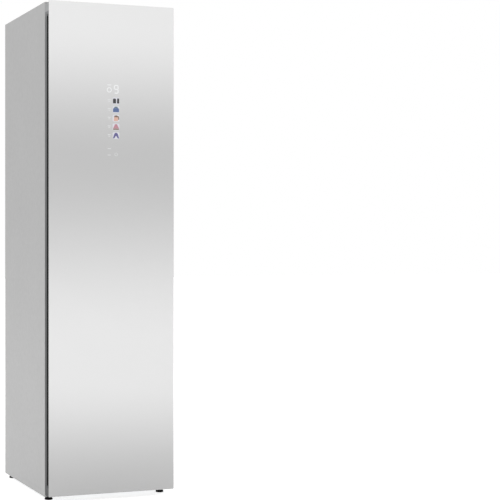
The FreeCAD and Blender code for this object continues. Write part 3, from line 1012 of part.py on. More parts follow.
def blower_wheel():
    """Drum wheel: back disc, leaning blades, front ring, hub and shaft."""
    x, z = BLOWER_X, BLOWER_Z
    y1 = Y_BLOWER_BACK - 3 * LINER_T
    y0, y_hub, blade_r = y1 - WHEEL_W, y1 - WHEEL_HUB_L, WHEEL_R - BLADE_DEPTH
    parts = [cylinder(WHEEL_R, x, y1 - WHEEL_DISC_T, z, WHEEL_DISC_T, Y_AXIS),
             ring(WHEEL_R, blade_r, x, y0, z, WHEEL_RING_T, Y_AXIS),
             cylinder(WHEEL_HUB_R, x, y_hub, z, WHEEL_HUB_L, Y_AXIS),
             cylinder(WHEEL_SHAFT_R, x, y_hub, z, Y_BLOWER_BACK + WHEEL_SHAFT_IN_MOTOR - y_hub, Y_AXIS)]
    for k in range(WHEEL_BLADES):
        blade = box(blade_r + BLADE_T, WHEEL_R - BLADE_T, y0 + WHEEL_RING_T / 2, y1 - WHEEL_DISC_T / 2,
                    -BLADE_T / 2, BLADE_T / 2)
        blade.rotate(V(WHEEL_R - BLADE_T, 0, 0), Y_AXIS, BLADE_LEAN)
        blade.translate(V(x, 0, z))
        blade.rotate(V(x, 0, z), Y_AXIS, 360.0 * k / WHEEL_BLADES)
        parts.append(blade)
    return one(parts)


def blower_motor():
    body = cylinder(BLOWER_MOTOR_R, BLOWER_X, Y_BLOWER_BACK, BLOWER_Z, BLOWER_MOTOR_L, Y_AXIS)
    body = body.makeFillet(BLOWER_MOTOR_EDGE, circles_at(body, Y_AXIS, Y_BLOWER_BACK + BLOWER_MOTOR_L))
    return body.cut(cylinder(WHEEL_SHAFT_R + RUNNING, BLOWER_X, Y_BLOWER_BACK, BLOWER_Z,
                             WHEEL_SHAFT_IN_MOTOR + THROUGH, Y_AXIS))


def compressor():
    """Hermetic compressor with three feet on rubber mounts."""
    x, y, z0 = COMPRESSOR_X, COMPRESSOR_Y, Z_BASE + MOUNT_H
    can = cylinder(COMPRESSOR_R, x, y, z0, COMPRESSOR_H)
    can = can.makeFillet(COMPRESSOR_DOME, circles_at(can, Z_AXIS, z0 + COMPRESSOR_H))
    feet, mounts = [], []
    for k in range(3):
        a = math.radians(90 + 120 * k)
        fx, fy = x + MOUNT_CIRCLE * math.cos(a), y + MOUNT_CIRCLE * math.sin(a)
        feet.append(cylinder(COMPRESSOR_FOOT_R, fx, fy, z0, COMPRESSOR_FOOT_T))
        mounts.append(cylinder(MOUNT_R, fx, fy, Z_BASE, MOUNT_H))
    return group([one([can] + feet)] + mounts)


def refrigerant_pipes():
    """Copper pipes: compressor to condenser, condenser to evaporator, evaporator to compressor."""
    x, z_coil, can_top = DUCT_X1, DUCT_BOTTOM + LINER_T, Z_BASE + MOUNT_H + COMPRESSOR_H
    y_hot, y_cold = Y_CONDENSER + COIL_D / 2, Y_EVAPORATOR + COIL_D / 2
    z_hot, z_cold, z_link = z_coil + HOT_PIPE_UP, z_coil + COLD_PIPE_UP, z_coil + LINK_PIPE_UP
    z_top, z_can, y_can = z_hot + 2 * COPPER_BEND, can_top - SUCTION_DROP, COMPRESSOR_Y - COMPRESSOR_R
    y_drop, x_out = y_can - 2 * COPPER_BEND, x + COPPER_RUN
    hot = [(COMPRESSOR_X, COMPRESSOR_Y, can_top), (COMPRESSOR_X, COMPRESSOR_Y, z_top),
           (x + COPPER_RISER, COMPRESSOR_Y, z_top), (x + COPPER_RISER, y_hot, z_hot), (x, y_hot, z_hot)]
    link = [(x, y_hot, z_link), (x_out, y_hot, z_link), (x_out, y_cold, z_link), (x, y_cold, z_link)]
    cold = [(x, y_cold, z_cold), (x_out, y_cold, z_cold), (x_out, y_drop, z_cold),
            (COMPRESSOR_X, y_drop, z_can), (COMPRESSOR_X, y_can, z_can)]
    return group([rod(points, COPPER_R, COPPER_BEND) for points in (hot, link, cold)])


def steam_generator():
    """Boiler block with a flange at half height, on four legs, with a steam outlet on top."""
    x, y, z0 = STEAMER_X, STEAMER_Y, Z_BASE + STEAMER_LEG
    w, d, flange = STEAMER_W / 2, STEAMER_D / 2, STEAMER_FLANGE
    z_flange = z0 + (STEAMER_H - STEAMER_FLANGE_T) / 2
    legs = [cylinder(STEAMER_LEG_R, x + sx * (w - STEAMER_LEG_INSET), y + sy * (d - STEAMER_LEG_INSET),
                     Z_BASE, STEAMER_LEG) for sx in (-1, 1) for sy in (-1, 1)]
    return one([centred_box(x, y, STEAMER_W, STEAMER_D, z0, z0 + STEAMER_H, STEAMER_CORNER),
                box(x - w - flange, x + w + flange, y - d - flange, y + d + flange, z_flange,
                    z_flange + STEAMER_FLANGE_T),
                cylinder(STEAMER_SPIGOT_R, x, y, z0 + STEAMER_H, STEAMER_SPIGOT)] + legs)


def water_pumps():
    """Feed pump and drain pump, each on a saddle."""
    pumps = []
    z = Z_BASE + PUMP_AXIS_UP
    for x in (FEED_PUMP_X, DRAIN_PUMP_X):
        motor = cylinder(PUMP_R, x, PUMP_Y, z, PUMP_LENGTH, Y_AXIS)
        head = cylinder(PUMP_HEAD_R, x, PUMP_Y - PUMP_HEAD_L, z, PUMP_HEAD_L, Y_AXIS)
        saddle = box(x - PUMP_R, x + PUMP_R, PUMP_Y + PUMP_SADDLE_INSET,
                     PUMP_Y + PUMP_LENGTH - PUMP_SADDLE_INSET, Z_BASE, z)
        pumps.append(one([motor, head, saddle]))
    return group(pumps)


def water_hoses():
    """Supply tank to feed pump to steamer, duct sump to drain pump to drain tank, and steamer to nozzle."""
    bend = HOSE_BEND
    z_pump, z_inlet = Z_BASE + PUMP_AXIS_UP, Z_BASE + STEAMER_LEG + STEAMER_INLET
    y_head, y_tail = PUMP_Y - PUMP_HEAD_L, PUMP_Y + PUMP_LENGTH
    y_spigot = Y_TANK + TANK_D + SPIGOT_LENGTH + FIT
    y_drop = y_spigot + bend + THROUGH
    x_steamer = STEAMER_X - STEAMER_W / 2
    x_turn = x_steamer - 3 * bend
    supply = [(-TANK_X, y_spigot, Z_SPIGOT), (-TANK_X, y_drop, Z_SPIGOT), (FEED_PUMP_X, y_drop, z_pump),
              (FEED_PUMP_X, y_head, z_pump)]
    y_feed = y_tail + 3 * bend
    feed = [(FEED_PUMP_X, y_tail, z_pump), (FEED_PUMP_X, y_feed, z_pump), (x_turn, y_feed, z_inlet),
            (x_turn, STEAMER_Y, z_inlet), (x_steamer, STEAMER_Y, z_inlet)]
    sump = [(DRAIN_PUMP_X, y_tail, z_pump), (DRAIN_PUMP_X, y_tail + bend + THROUGH, z_pump),
            (DRAIN_PUMP_X, y_tail + bend + THROUGH, DUCT_BOTTOM)]
    drain = [(DRAIN_PUMP_X, y_head, z_pump), (DRAIN_PUMP_X, y_drop, z_pump), (TANK_X, y_drop, z_pump),
             (TANK_X, y_drop, Z_SPIGOT), (TANK_X, y_spigot, Z_SPIGOT)]
    z_boiler, z_nozzle = Z_BASE + STEAMER_LEG + STEAMER_H + STEAMER_SPIGOT, FLOOR_UNDER - NOZZLE_STEM_L
    steam = [(STEAMER_X, STEAMER_Y, z_boiler), (STEAMER_X, STEAMER_Y, z_boiler + STEAM_HOSE_RUN),
             (NOZZLE_X, NOZZLE_Y, z_nozzle - STEAM_HOSE_RUN), (NOZZLE_X, NOZZLE_Y, z_nozzle)]
    small = [rod(points, HOSE_R, bend) for points in (supply, feed, sump, drain)]
    return group(small + [rod(steam, STEAM_HOSE_R, STEAM_HOSE_BEND)])


def mains_gland():
    """Cable gland in the back panel: flange outside, nut inside, bore for the cord."""
    x, z = GLAND_X, GLAND_Z
    flange = cylinder(GLAND_R, x, Y_PANEL, z, Y_BACK - Y_PANEL, Y_AXIS)
    body = cylinder(GLAND_BODY_R, x, Y_PANEL - GLAND_BODY_L, z, GLAND_BODY_L, Y_AXIS)
    nut = cylinder(GLAND_NUT_R, x, Y_PANEL_IN - GLAND_NUT_T, z, GLAND_NUT_T, Y_AXIS)
    bore = cylinder(GLAND_BORE_R, x, Y_PANEL - GLAND_BODY_L, z, Y_BACK - Y_PANEL + GLAND_BODY_L, Y_AXIS)
    return one([flange, body, nut]).cut(bore)


# --------------------------------------------------------------------------------------------------
# Everything, one file for each node
# --------------------------------------------------------------------------------------------------
def build():
    left = side_panel()
    nodes = {
        "side_panel_left": left,
        "side_panel_right": mirrored(left),
        "top_panel": top_panel(),
        "rear_panel": rear_panel(),
        "case_screws": case_screws(),
        "front_frame": front_frame(),
        "base_frame": base_frame(),
        "hinge_brackets": hinge_brackets(),
        "hinge_pins": hinge_pins(),
        "hinge_bushes": hinge_bushes(),
        "door_glass": door_glass(),
        "door_grip_profile": door_grip_profile(),
        "door_hinge_profile": door_hinge_profile(),
        "door_cap_top": door_cap_top(),
        "door_cap_bottom": door_cap_bottom(),
        "door_liner": door_liner(),
        "door_foam": door_foam(),
        "door_gasket": door_gasket(),
        "touch_board": board_box(0),
        "chamber_liner": chamber_liner(),
        "insulation_pads": insulation_pads(),
        "chamber_floor": chamber_floor(),
        "air_outlet_grille": air_outlet_grille(),
        "steam_nozzle": steam_nozzle(),
        "lint_filter": lint_filter(),
        "shelf": shelf(),
        "chamber_lamp": chamber_lamp(),
        "drive_plate": drive_plate(),
        "guide_rods": guide_rods(),
        "hanger_carriage": hanger_carriage(),
        "hanger_bar": hanger_bar(),
        "crank_pulley": crank_pulley(),
        "motor_pulley": motor_pulley(),
        "shaker_motor": shaker_motor(),
        "drive_belt": drive_belt(),
        "control_box": control_box(),
        "tank_bay": tank_bay(),
        "supply_tank": tank(-TANK_X),
        "supply_tank_lid": tank_lid(-TANK_X),
        "drain_tank": tank(TANK_X),
        "drain_tank_lid": tank_lid(TANK_X),
        "air_duct": air_duct(),
        "evaporator_coil": coil(Y_EVAPORATOR),
        "condenser_coil": coil(Y_CONDENSER),
        "blower_housing": blower_housing(),
        "blower_wheel": blower_wheel(),
        "blower_motor": blower_motor(),
        "compressor": compressor(),
        "refrigerant_pipes": refrigerant_pipes(),
        "steam_generator": steam_generator(),
        "water_pumps": water_pumps(),
        "water_hoses": water_hoses(),
        "mains_gland": mains_gland(),
    }
    for name, (x, y) in FEET.items():
        nodes[name] = foot(x, y)
    for k, seat in enumerate(HANGER_SEATS):
        nodes[f"hanger_{k + 1}"] = hanger(seat * HOOK_PITCH)
    return nodes


os.makedirs("parts", exist_ok=True)
for node_name, node_shape in build().items():
    node_shape.exportStep(f"parts/{node_name}.step")
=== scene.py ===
"""Looks of a clothes care steam cabinet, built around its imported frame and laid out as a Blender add-on."""

import math
from typing import NamedTuple

import bpy
import numpy as np
from bpy.props import FloatProperty, FloatVectorProperty, IntProperty, PointerProperty
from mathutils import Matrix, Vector


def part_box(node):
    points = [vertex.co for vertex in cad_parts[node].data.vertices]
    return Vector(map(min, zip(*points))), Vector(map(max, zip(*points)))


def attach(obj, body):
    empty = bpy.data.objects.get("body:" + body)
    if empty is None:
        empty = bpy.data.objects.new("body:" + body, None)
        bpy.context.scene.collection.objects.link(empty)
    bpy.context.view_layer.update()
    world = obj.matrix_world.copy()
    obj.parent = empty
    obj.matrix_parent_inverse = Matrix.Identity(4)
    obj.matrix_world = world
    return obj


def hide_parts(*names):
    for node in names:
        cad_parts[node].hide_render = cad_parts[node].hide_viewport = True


bl_info = {
    "name": "Steam Cabinet",
    "version": (1, 0, 0),
    "blender": (4, 5, 0),
    "location": "3D View > Sidebar > Steam Cabinet",
    "description": "Finishes and detailed pieces of a tall clothes care steam cabinet",
    "category": "Object",
}

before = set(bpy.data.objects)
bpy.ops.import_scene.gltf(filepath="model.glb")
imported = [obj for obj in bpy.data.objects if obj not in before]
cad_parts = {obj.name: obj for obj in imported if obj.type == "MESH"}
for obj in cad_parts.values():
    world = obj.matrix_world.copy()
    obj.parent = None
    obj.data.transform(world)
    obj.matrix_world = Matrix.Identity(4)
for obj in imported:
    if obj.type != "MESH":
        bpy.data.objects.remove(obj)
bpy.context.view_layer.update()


class Box:
    """Lowest and highest corner, middle and size of a node's box, in metres."""

    def __init__(self, node):
        self.low, self.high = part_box(node)
        low, high = np.array(self.low, float), np.array(self.high, float)
        self.middle, self.size = (low + high) / 2, high - low


GLASS, GRIP, SEAL = Box("door_glass"), Box("door_grip_profile"), Box("door_gasket")
LINING, CHAMBER, REAR = Box("door_liner"), Box("chamber_liner"), Box("rear_panel")
BAR, FILTER, TANK = Box("hanger_bar"), Box("lint_filter"), Box("supply_tank")
HANGERS = "hanger_1 hanger_2 hanger_3"
FEET = "foot_front_left foot_front_right foot_rear_left foot_rear_right"

MM = 0.001
WALL = 2.5 * MM  # formed walls of the chamber and the door lining
BOND_WIDTH = 2.5 * MM  # bonding strip between the glass and the door's profiles, painted black: partly a real bond, partly painted shadow of the grip groove


def tone(*levels):
    """Linear colour of screen levels from 0 to 255, by the standard screen curve; one level makes a grey."""
    levels *= 3 // len(levels)
    return tuple(v / 3294.6 if v <= 10.3 else ((v / 255 + 0.055) / 1.055) ** 2.4 for v in levels)


# Settings
def number(name, description, default, **options):
    return FloatProperty(name=name, description=description, default=default, **options)


def length(name, description, millimetres):
    return number(name, description, millimetres * MM, unit="LENGTH", min=0)


def tint(name, description, *levels):
    return FloatVectorProperty(name=name, description=description, default=tone(*levels), subtype="COLOR",
                               size=3, min=0, max=1)


class CabinetColours(bpy.types.PropertyGroup):
    """Colours that a buyer of the cabinet could choose."""

    casing: tint("Casing", "Paint of the sides and the top", 171)
    # Lightest and darkest tone of the painted reflection graded over the glass's height
    glass_reflection_bright: tint("Glass, bright", "Lightest tone of the silvered glass", 232)
    glass_reflection_shade: tint("Glass, shaded", "Darkest tone of the silvered glass", 186)
    # The door edge's tones are a painted reflection over the door's height: lighter at the top, darker lower
    # down, on the lower cap too
    door_edge: tint("Door edge", "Anodised profiles of the door at the top", 96, 97, 99)
    door_edge_reflection_foot: tint("Door edge, foot", "Their darker tone lower down", 58, 59, 61)
    door_cap: tint("Door cap", "Plastic end cap at the top of the door", 158, 159, 160)
    interior: tint("Interior", "Moulded walls of the garment chamber", 226, 227, 226)
    seal: tint("Door seal", "Magnetic seal round the door", 120, 122, 125)
    hanger: tint("Hangers", "Moulded shoulders of the hangers", 72, 74, 78)


class CabinetSizes(bpy.types.PropertyGroup):
    """Sizes of the pieces that are shaped here."""

    glass_edge: length("Glass edge", "Radius of the polished edge of the glass", 1.2)
    glass_corner: length("Glass corner", "Corner radius of the glass", 2.5)
    print_height: length("Print height", "How far the display's prints stand on the glass", 0.08)
    tile_width: length("Tile width", "Width of a program tile", 27.0)
    tile_height: length("Tile height", "Height of a program tile", 25.0)
    digit_height: length("Digit height", "Height of the display's large digit", 36.0)
    seal_wall: length("Seal fold", "Depth of the fold in the door seal", 2.2)
    flute_depth: length("Flute depth", "Height of the flutes of the chamber and the door", 2.2)
    pressed_height: length("Pressed height", "Height of the rear panel's pressed fields", 2.6)
    hanger_thickness: length("Hanger thickness", "Thickness of a hanger's shoulder", 14.0)
    hook_radius: length("Hook radius", "Radius of a hanger's wire", 2.6)
    foot_ribs: IntProperty(name="Foot ribs", description="Finger ribs round each foot", default=18, min=3)


class StageSettings(bpy.types.PropertyGroup):
    """Camera and light."""

    camera_x: number("Camera X", "Camera place, left of the cabinet", -1.688, unit="LENGTH")
    camera_y: number("Camera Y", "Camera place, before the cabinet", -5.067, unit="LENGTH")
    camera_z: number("Camera Z", "Camera height", 0.957, unit="LENGTH")
    heading: number("Heading", "Turn of the camera to the right", math.radians(20.41), subtype="ANGLE")
    lens: number("Lens", "Focal length in millimetres", 97.38, min=1)
    shift_x: number("Shift X", "Sideways shift of the picture", 0.2340)
    shift_y: number("Shift Y", "Upward shift of the picture", -0.014)
    ambient: number("Ambient", "Strength of the light from all round", 0.8, min=0)
    key: number("Key", "Power of the front light in watts", 45, min=0)
    fill: number("Fill", "Power of each other light in watts", 28, min=0)
    floor_glow: number("Floor glow", "Light that the floor adds where it is seen", 0.75, min=0)


class CabinetSettings(bpy.types.PropertyGroup):
    """All settings of the cabinet's looks."""

    colours: PointerProperty(type=CabinetColours)
    sizes: PointerProperty(type=CabinetSizes)
    stage: PointerProperty(type=StageSettings)


def settings(context):
    return context.scene.steam_cabinet


# Surfaces
SKIN, SINK = 0.15 * MM, 0.5 * MM  # a fluted field's least height, and how deep its border goes
FIELD_BORDER, FIELD_STEPS, FLUTE_STEPS = 36 * MM, 9, 12
CRISP = 35  # degrees from which an edge between two faces looks sharp


class Surface(NamedTuple):
    """Closed surface: its points, and its faces as one run of corners with the number that each face has."""

    points: np.ndarray
    corners: np.ndarray
    counts: np.ndarray


def outward(surface):
    """The surface with its faces turned outwards, told by the sign of the volume inside: the sum of the
    triple products of the triangles that fan out from each face's first corner."""
    points, corners, counts = surface
    size = np.repeat(counts, counts)
    first = np.repeat(np.cumsum(counts) - counts, counts)
    place = np.arange(len(corners)) - first
    inner = np.flatnonzero((place > 0) & (place < size - 1))
    a, b, c = (points[corners[k]] for k in (first[inner], inner, inner + 1))
    if np.einsum("ij,ij->", a, np.cross(b, c)) > 0:
        return surface
    return surface._replace(corners=corners[first + size - 1 - place])


def linked(name, data):
    """New object in the scene."""
    made = bpy.data.objects.new(name, data)
    bpy.context.scene.collection.objects.link(made)
    return made


def piece(name, surfaces, finish, body):
    """One object from closed surfaces, with the material of a finish, that moves with a body."""
    surfaces = [outward(surface) for surface in surfaces]
    starts = np.cumsum([0] + [len(surface.points) for surface in surfaces[:-1]])
    points = np.concatenate([surface.points for surface in surfaces])
    corners = np.concatenate([surface.corners + start for surface, start in zip(surfaces, starts)])
    counts = np.concatenate([surface.counts for surface in surfaces])
    mesh = bpy.data.meshes.new(name)
    mesh.vertices.add(len(points))
    mesh.vertices.foreach_set("co", points.astype(np.float32).ravel())
    mesh.loops.add(len(corners))
    mesh.loops.foreach_set("vertex_index", corners.astype(np.int32))
    mesh.polygons.add(len(counts))
    mesh.polygons.foreach_set("loop_start", (np.cumsum(counts) - counts).astype(np.int32))
    mesh.update(calc_edges=True)
    mesh.shade_smooth()
    mesh.set_sharp_from_angle(angle=math.radians(CRISP))
    mesh.materials.append(bpy.data.materials[finish])
    made = linked(name, mesh)
    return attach(made, body)


def grid_faces(rows, columns, close_rows):
    """Corners of the quads between the loops of a grid; close_rows joins the last loop to the first."""
    i = np.arange(rows if close_rows else rows - 1)[:, None]
    j = np.arange(columns)[None, :]
    below, beside = (i + 1) % rows, (j + 1) % columns
    corners = [i * columns + j, i * columns + beside, below * columns + beside, below * columns + j]
    return np.stack(np.broadcast_arrays(*corners), axis=-1).reshape(-1, 4)


def lofted(loops):
    """Closed solid through a stack of closed loops, an array of loops by points by 3, flat at both ends."""
    rows, columns = loops.shape[:2]
    quads = grid_faces(rows, columns, False)
    bottom, top = np.arange(columns)[::-1], np.arange(columns) + (rows - 1) * columns
    counts = np.repeat([4, columns], [len(quads), 2])
    return Surface(loops.reshape(-1, 3), np.concatenate([quads.ravel(), bottom, top]), counts)


def ringed(loops):
    """Closed ring through loops of one section that comes back to its first loop."""
    quads = grid_faces(*loops.shape[:2], True)
    return Surface(loops.reshape(-1, 3), quads.ravel(), np.full(len(quads), 4))


def rounded_loop(width, height, radius, steps=6):
    """Loop round a rectangle with round corners: corner centre plus radius times (cos t, sin t), t over
    a quarter turn at each corner in order. Arrays of sizes give an array of loops."""
    width, height, radius = (np.asarray(size, float)[..., None] for size in (width, height, radius))
    t = (np.arange(4)[:, None] * np.pi / 2 + np.linspace(0, np.pi / 2, steps)).ravel()
    x = np.repeat([1, -1, -1, 1], steps) * (width / 2 - radius) + radius * np.cos(t)
    z = np.repeat([1, 1, -1, -1], steps) * (height / 2 - radius) + radius * np.sin(t)
    return np.stack([x, z], -1)


def upright(loop, centre, y):
    """Loop in X and Z about a centre, stood at y, where y holds one value for each layer."""
    x, z = centre[0] + loop[..., 0], centre[1] + loop[..., 1]
    return np.stack(np.broadcast_arrays(x, np.asarray(y, float)[..., None], z), -1)


def plate(centre, width, height, radius, inset, y):
    """Upright plate facing -Y: rounded rectangles, each made smaller by its inset at its own y."""
    corner = np.maximum(radius - inset, radius / 20)
    return lofted(upright(rounded_loop(width - 2 * inset, height - 2 * inset, corner), centre, y))


def smooth(value, end):
    """0 to 1 as a value goes from 0 to its end: 3 t squared less 2 t cubed."""
    t = np.clip(value / end, 0, 1)
    return t * t * (3 - 2 * t)


def fluted_field(start, across, out, size, pitch, depth):
    """Closed upright field of flutes on a wall, from its lowest corner. At u across and v up its front
    stands SKIN plus depth times (1 - cos(2 pi u / pitch)) / 2 before the wall, times a smooth rise from
    each border, where it goes SINK under the wall's face; its flat back lies deeper."""
    width, height = size
    u = np.linspace(0, width, round(width / pitch) * FLUTE_STEPS + 1)
    ends = np.linspace(0, FIELD_BORDER, FIELD_STEPS)
    v = np.append(ends, height - ends[::-1])[:, None]
    rise = smooth(u, FIELD_BORDER) * smooth(width - u, FIELD_BORDER) * smooth(v, FIELD_BORDER)
    rise = rise * smooth(height - v, FIELD_BORDER)
    proud = (SKIN + depth * (1 - np.cos(2 * np.pi * u / pitch)) / 2 + SINK) * rise - SINK
    u = np.append(u, (width, 0))
    proud = np.pad(proud, ((0, 0), (0, 2)), constant_values=-2 * SINK)
    points = np.array(start) + u[:, None] * np.array(across) + proud[..., None] * np.array(out)
    return lofted(points + v[..., None] * np.array((0, 0, 1)))


def turned(radius, z, centre, segments, share=0.0, ribs=0, depth=0.0):
    """Surface of revolution about a vertical axis: (r cos t, r sin t, z) for each radius and height of a
    profile, with r made larger by share times depth times the cosine of ribs times t."""
    r, z, share = (row[:, None] for row in np.broadcast_arrays(radius, z, share))
    t = np.linspace(0, 2 * np.pi, segments, endpoint=False)
    r = r + share * depth * np.cos(ribs * t)
    x, y = centre[0] + r * np.cos(t), centre[1] + r * np.sin(t)
    return lofted(np.stack(np.broadcast_arrays(x, y, z), -1))


def arc(centre, radius, start, end, count):
    """Points along a circle, from one angle in degrees to another."""
    t = np.radians(np.linspace(start, end, count))
    return centre + radius * np.stack([np.cos(t), np.sin(t)], -1)


def planar_tube(path, radius, x, segments=16, steps=5):
    """Round wire along a path in the plane of Y and Z: path + r (cos a N + sin a X), with N the path's
    normal in that plane, and r that shrinks over a half round beyond each end."""
    ahead = np.gradient(path, axis=0)
    ahead /= np.linalg.norm(ahead, axis=1)[:, None]
    swell = np.linspace(0.05, np.pi / 2, steps)[:-1, None]
    start = path[0] - ahead[0] * radius * np.cos(swell)
    finish = path[-1] + ahead[-1] * radius * np.cos(swell[::-1])
    line = np.concatenate([start, path, finish])
    aim = np.pad(ahead, ((steps - 1, steps - 1), (0, 0)), mode="edge")
    r = radius * np.concatenate([np.sin(swell), np.ones((len(path), 1)), np.sin(swell[::-1])])
    a = np.linspace(0, 2 * np.pi, segments, endpoint=False)
    y = line[:, :1] - aim[:, 1:] * r * np.cos(a)
    z = line[:, 1:] + aim[:, :1] * r * np.cos(a)
    return lofted(np.stack([x + r * np.sin(a), y, z], -1))


# Finishes
def add_node(tree, kind, inputs, **options):
    """Outputs of a new node of a tree, with its options, and its sockets linked or set."""
    made = tree.nodes.new("ShaderNode" + kind)
    for key, value in options.items():
        setattr(made, key, value)
    for key, value in inputs.items():
        if isinstance(value, bpy.types.NodeSocket):
            tree.links.new(value, made.inputs[key])
        else:
            made.inputs[key].default_value = value
    return made.outputs


class Finish:
    """A Principled material whose patterns read Object coordinates; scales count waves to the metre."""

    def __init__(self, name, **constants):
        self.material = bpy.data.materials.new(name)
        self.material.use_nodes = True
        self.tree = self.material.node_tree
        self.shader = next(n for n in self.tree.nodes if n.type == "BSDF_PRINCIPLED")
        self.place = self.node("TexCoord", {})["Object"]
        for socket, value in constants.items():
            self.shader.inputs[socket.replace("_", " ")].default_value = value

    def node(self, kind, inputs, **options):
        return add_node(self.tree, kind, inputs, **options)

    def stretched(self, stretch):
        """Object coordinates multiplied along each axis."""
        return self.node("Mapping", {"Vector": self.place, "Scale": stretch})["Vector"]

    def noise(self, scale, detail=2.0, stretch=(1, 1, 1)):
        """Cloudy noise from about 0.3 to 0.7, spread to 0 to 1."""
        inputs = {"Vector": self.stretched(stretch), "Scale": scale, "Detail": detail}
        return self.between(self.node("TexNoise", inputs)["Fac"], 0, 1, 0.3, 0.7)

    def cells(self, scale, feature="F1", stretch=(1, 1, 1)):
        """Scattered cells, each with a colour and a distance pattern."""
        return self.node("TexVoronoi", {"Vector": self.stretched(stretch), "Scale": scale}, feature=feature)

    def patches(self, scale):
        """A tone from 0 to 1 for each of the scattered cells."""
        return self.node("SeparateColor", {"Color": self.cells(scale)["Color"]})[0]

    def waves(self, scale, direction):
        """Regular ribs across one axis."""
        return self.node("TexWave", {"Vector": self.place, "Scale": scale}, bands_direction=direction)["Fac"]

    def between(self, value, low, high, start=0.0, end=1.0, **options):
        """A value carried linearly from its range, start to end, to low and high."""
        inputs = {"Value": value, "From Min": start, "From Max": end, "To Min": low, "To Max": high}
        return self.node("MapRange", inputs, **options)["Result"]

    def step(self, value, start, end):
        """0 to 1, with a soft start and end, as a value goes from start to end."""
        return self.between(value, 0, 1, start, end, interpolation_type="SMOOTHSTEP")

    def maths(self, operation, first, second=0.0):
        return self.node("Math", {0: first, 1: second}, operation=operation)["Value"]

    def field(self, *limits):
        """1 inside limits, each a value with its low and high end and the width of its soft edge, else 0."""
        inside = 1.0
        for value, low, high, soft in limits:
            rise, fall = self.step(value, low, low + soft), self.step(value, high, high - soft)
            inside = self.maths("MULTIPLY", inside, self.maths("MULTIPLY", rise, fall))
        return inside

    def wires(self, value, pitch):
        """Round ribs from 0 to 1 along a value."""
        sine = self.maths("SINE", self.maths("MULTIPLY", value, 2 * math.pi / pitch))
        return self.between(sine, 0, 1, -1, 1)

    def lines(self, value, pitch, share):
        """1 over a share of each pitch along a value, and 0 between."""
        return self.maths("LESS_THAN", self.maths("FRACT", self.maths("DIVIDE", value, pitch)), share)

    def along(self, axis):
        """One Object coordinate, in metres."""
        return self.node("SeparateXYZ", {"Vector": self.place})[axis]

    def mixed(self, factor, first, second):
        """Two colours, or patterns of colour, mixed by a factor."""
        first, second = (v if isinstance(v, bpy.types.NodeSocket) else (*v, 1) for v in (first, second))
        return self.node("Mix", {0: factor, 6: first, 7: second}, data_type="RGBA")[2]

    def paled(self, pattern, colour, amount):
        """Colour that goes up to an amount of the way to white over a pattern."""
        return self.mixed(self.between(pattern, 0, amount), colour, (1, 1, 1))

    def paint(self, value, socket="Base Color"):
        self.tree.links.new(value, self.shader.inputs[socket])

    def varied(self, pattern, colour, amount):
        """Paint that goes amount darker and lighter over a pattern."""
        dark = [c * (1 - amount) for c in colour]
        self.paint(self.mixed(pattern, dark, [min(1.0, c * (1 + amount)) for c in colour]))

    def bump(self, height, distance):
        """Relief on top of any earlier one: height from 0 to 1 stands for a distance in metres."""
        inputs = {"Height": height, "Distance": distance}
        for earlier in self.shader.inputs["Normal"].links:
            inputs["Normal"] = earlier.from_socket
        self.paint(self.node("Bump", inputs)["Normal"], "Normal")

    def surfaced(self, gloss, low, high, relief, distance):
        """The material, rough from low to high over one pattern and with the relief of another."""
        self.paint(self.between(gloss, low, high), "Roughness")
        self.bump(relief, distance)
        return self.material

    def eroded(self, low, high):
        """The material with the fine spark-eroded grain of a mould."""
        return self.surfaced(self.noise(220, 3), low, high, self.noise(900, 3), 0.04 * MM)


def moulded(name, colour, roughness=0.42, cloud=14, amount=0.02, **constants):
    """Moulded plastic with a fine grain and faint cloudiness."""
    f = Finish(name, **constants)
    f.varied(f.noise(cloud), colour, amount)
    return f.eroded(roughness - 0.06, roughness + 0.06)


# Screen in the filter's windows: pitch and rise of its weave, its height, and the share between its wires
WEAVE_PITCH, WEAVE_RISE, SCREEN_HEIGHT, WEAVE_OPEN = 1.6 * MM, 0.3 * MM, 1.9 * MM, 0.72


def filter_mesh(name, colour):
    """Dark moulded plastic, with a woven screen in the filter's windows whose openings carry painted shade.
    """
    f = Finish(name)
    wires = f.maths("MAXIMUM", f.wires(f.along("X"), WEAVE_PITCH), f.wires(f.along("Y"), WEAVE_PITCH))
    screen = f.field((f.along("Z"), FILTER.low.z, FILTER.low.z + SCREEN_HEIGHT, 0.1 * MM))
    # Openings of the weave painted near black: painted shade seen through them
    shaded_gaps = f.maths("MULTIPLY", screen, f.maths("LESS_THAN", wires, WEAVE_OPEN))
    f.paint(f.mixed(shaded_gaps, f.mixed(screen, colour, tone(150, 152, 154)), tone(26, 27, 29)))
    f.bump(f.maths("MULTIPLY", wires, screen), WEAVE_RISE)
    return f.eroded(0.4, 0.52)


def painted(name, colour, roughness=0.4):
    """Baked paint on sheet steel: fine orange peel, a little metal flake and faint long clouds."""
    f = Finish(name)
    f.varied(f.maths("MULTIPLY", f.patches(2600), f.noise(3.5)), colour, 0.03)
    return f.surfaced(f.noise(60, 2), roughness - 0.05, roughness + 0.05, f.noise(420, 2), 0.03 * MM)


DRAWN = {"X": (0.02, 1, 1), "Z": (1, 1, 0.02)}  # stretch of the lines that drawing or brushing leaves


def brushed(name, colour, roughness=0.3, along="Z"):
    """Brushed or drawn metal: noise stretched along the brushing, in tone, roughness and relief."""
    f = Finish(name, Metallic=1.0)
    lines = f.noise(1800, 3, DRAWN[along])
    f.varied(lines, colour, 0.08)
    return f.surfaced(lines, roughness - 0.06, roughness + 0.08, lines, 0.02 * MM)


GLASS_RIM = 1.2 * MM  # bright front of the glass, before its dark cut edge
EDGE_LIGHT = 62 * MM  # upper end of the door's profiles, painted lighter as it fades to the cap's tone


def reflection_graded_edge(f, head, foot):
    """Painted reflection: colour that falls smoothly from head, at the door's top, to foot, a third of the
    way up.
    """
    level = f.between(f.along("Z"), 0, 1, GLASS.low.z + GLASS.size[2] / 3, GLASS.high.z)
    return f.mixed(level, foot, head)


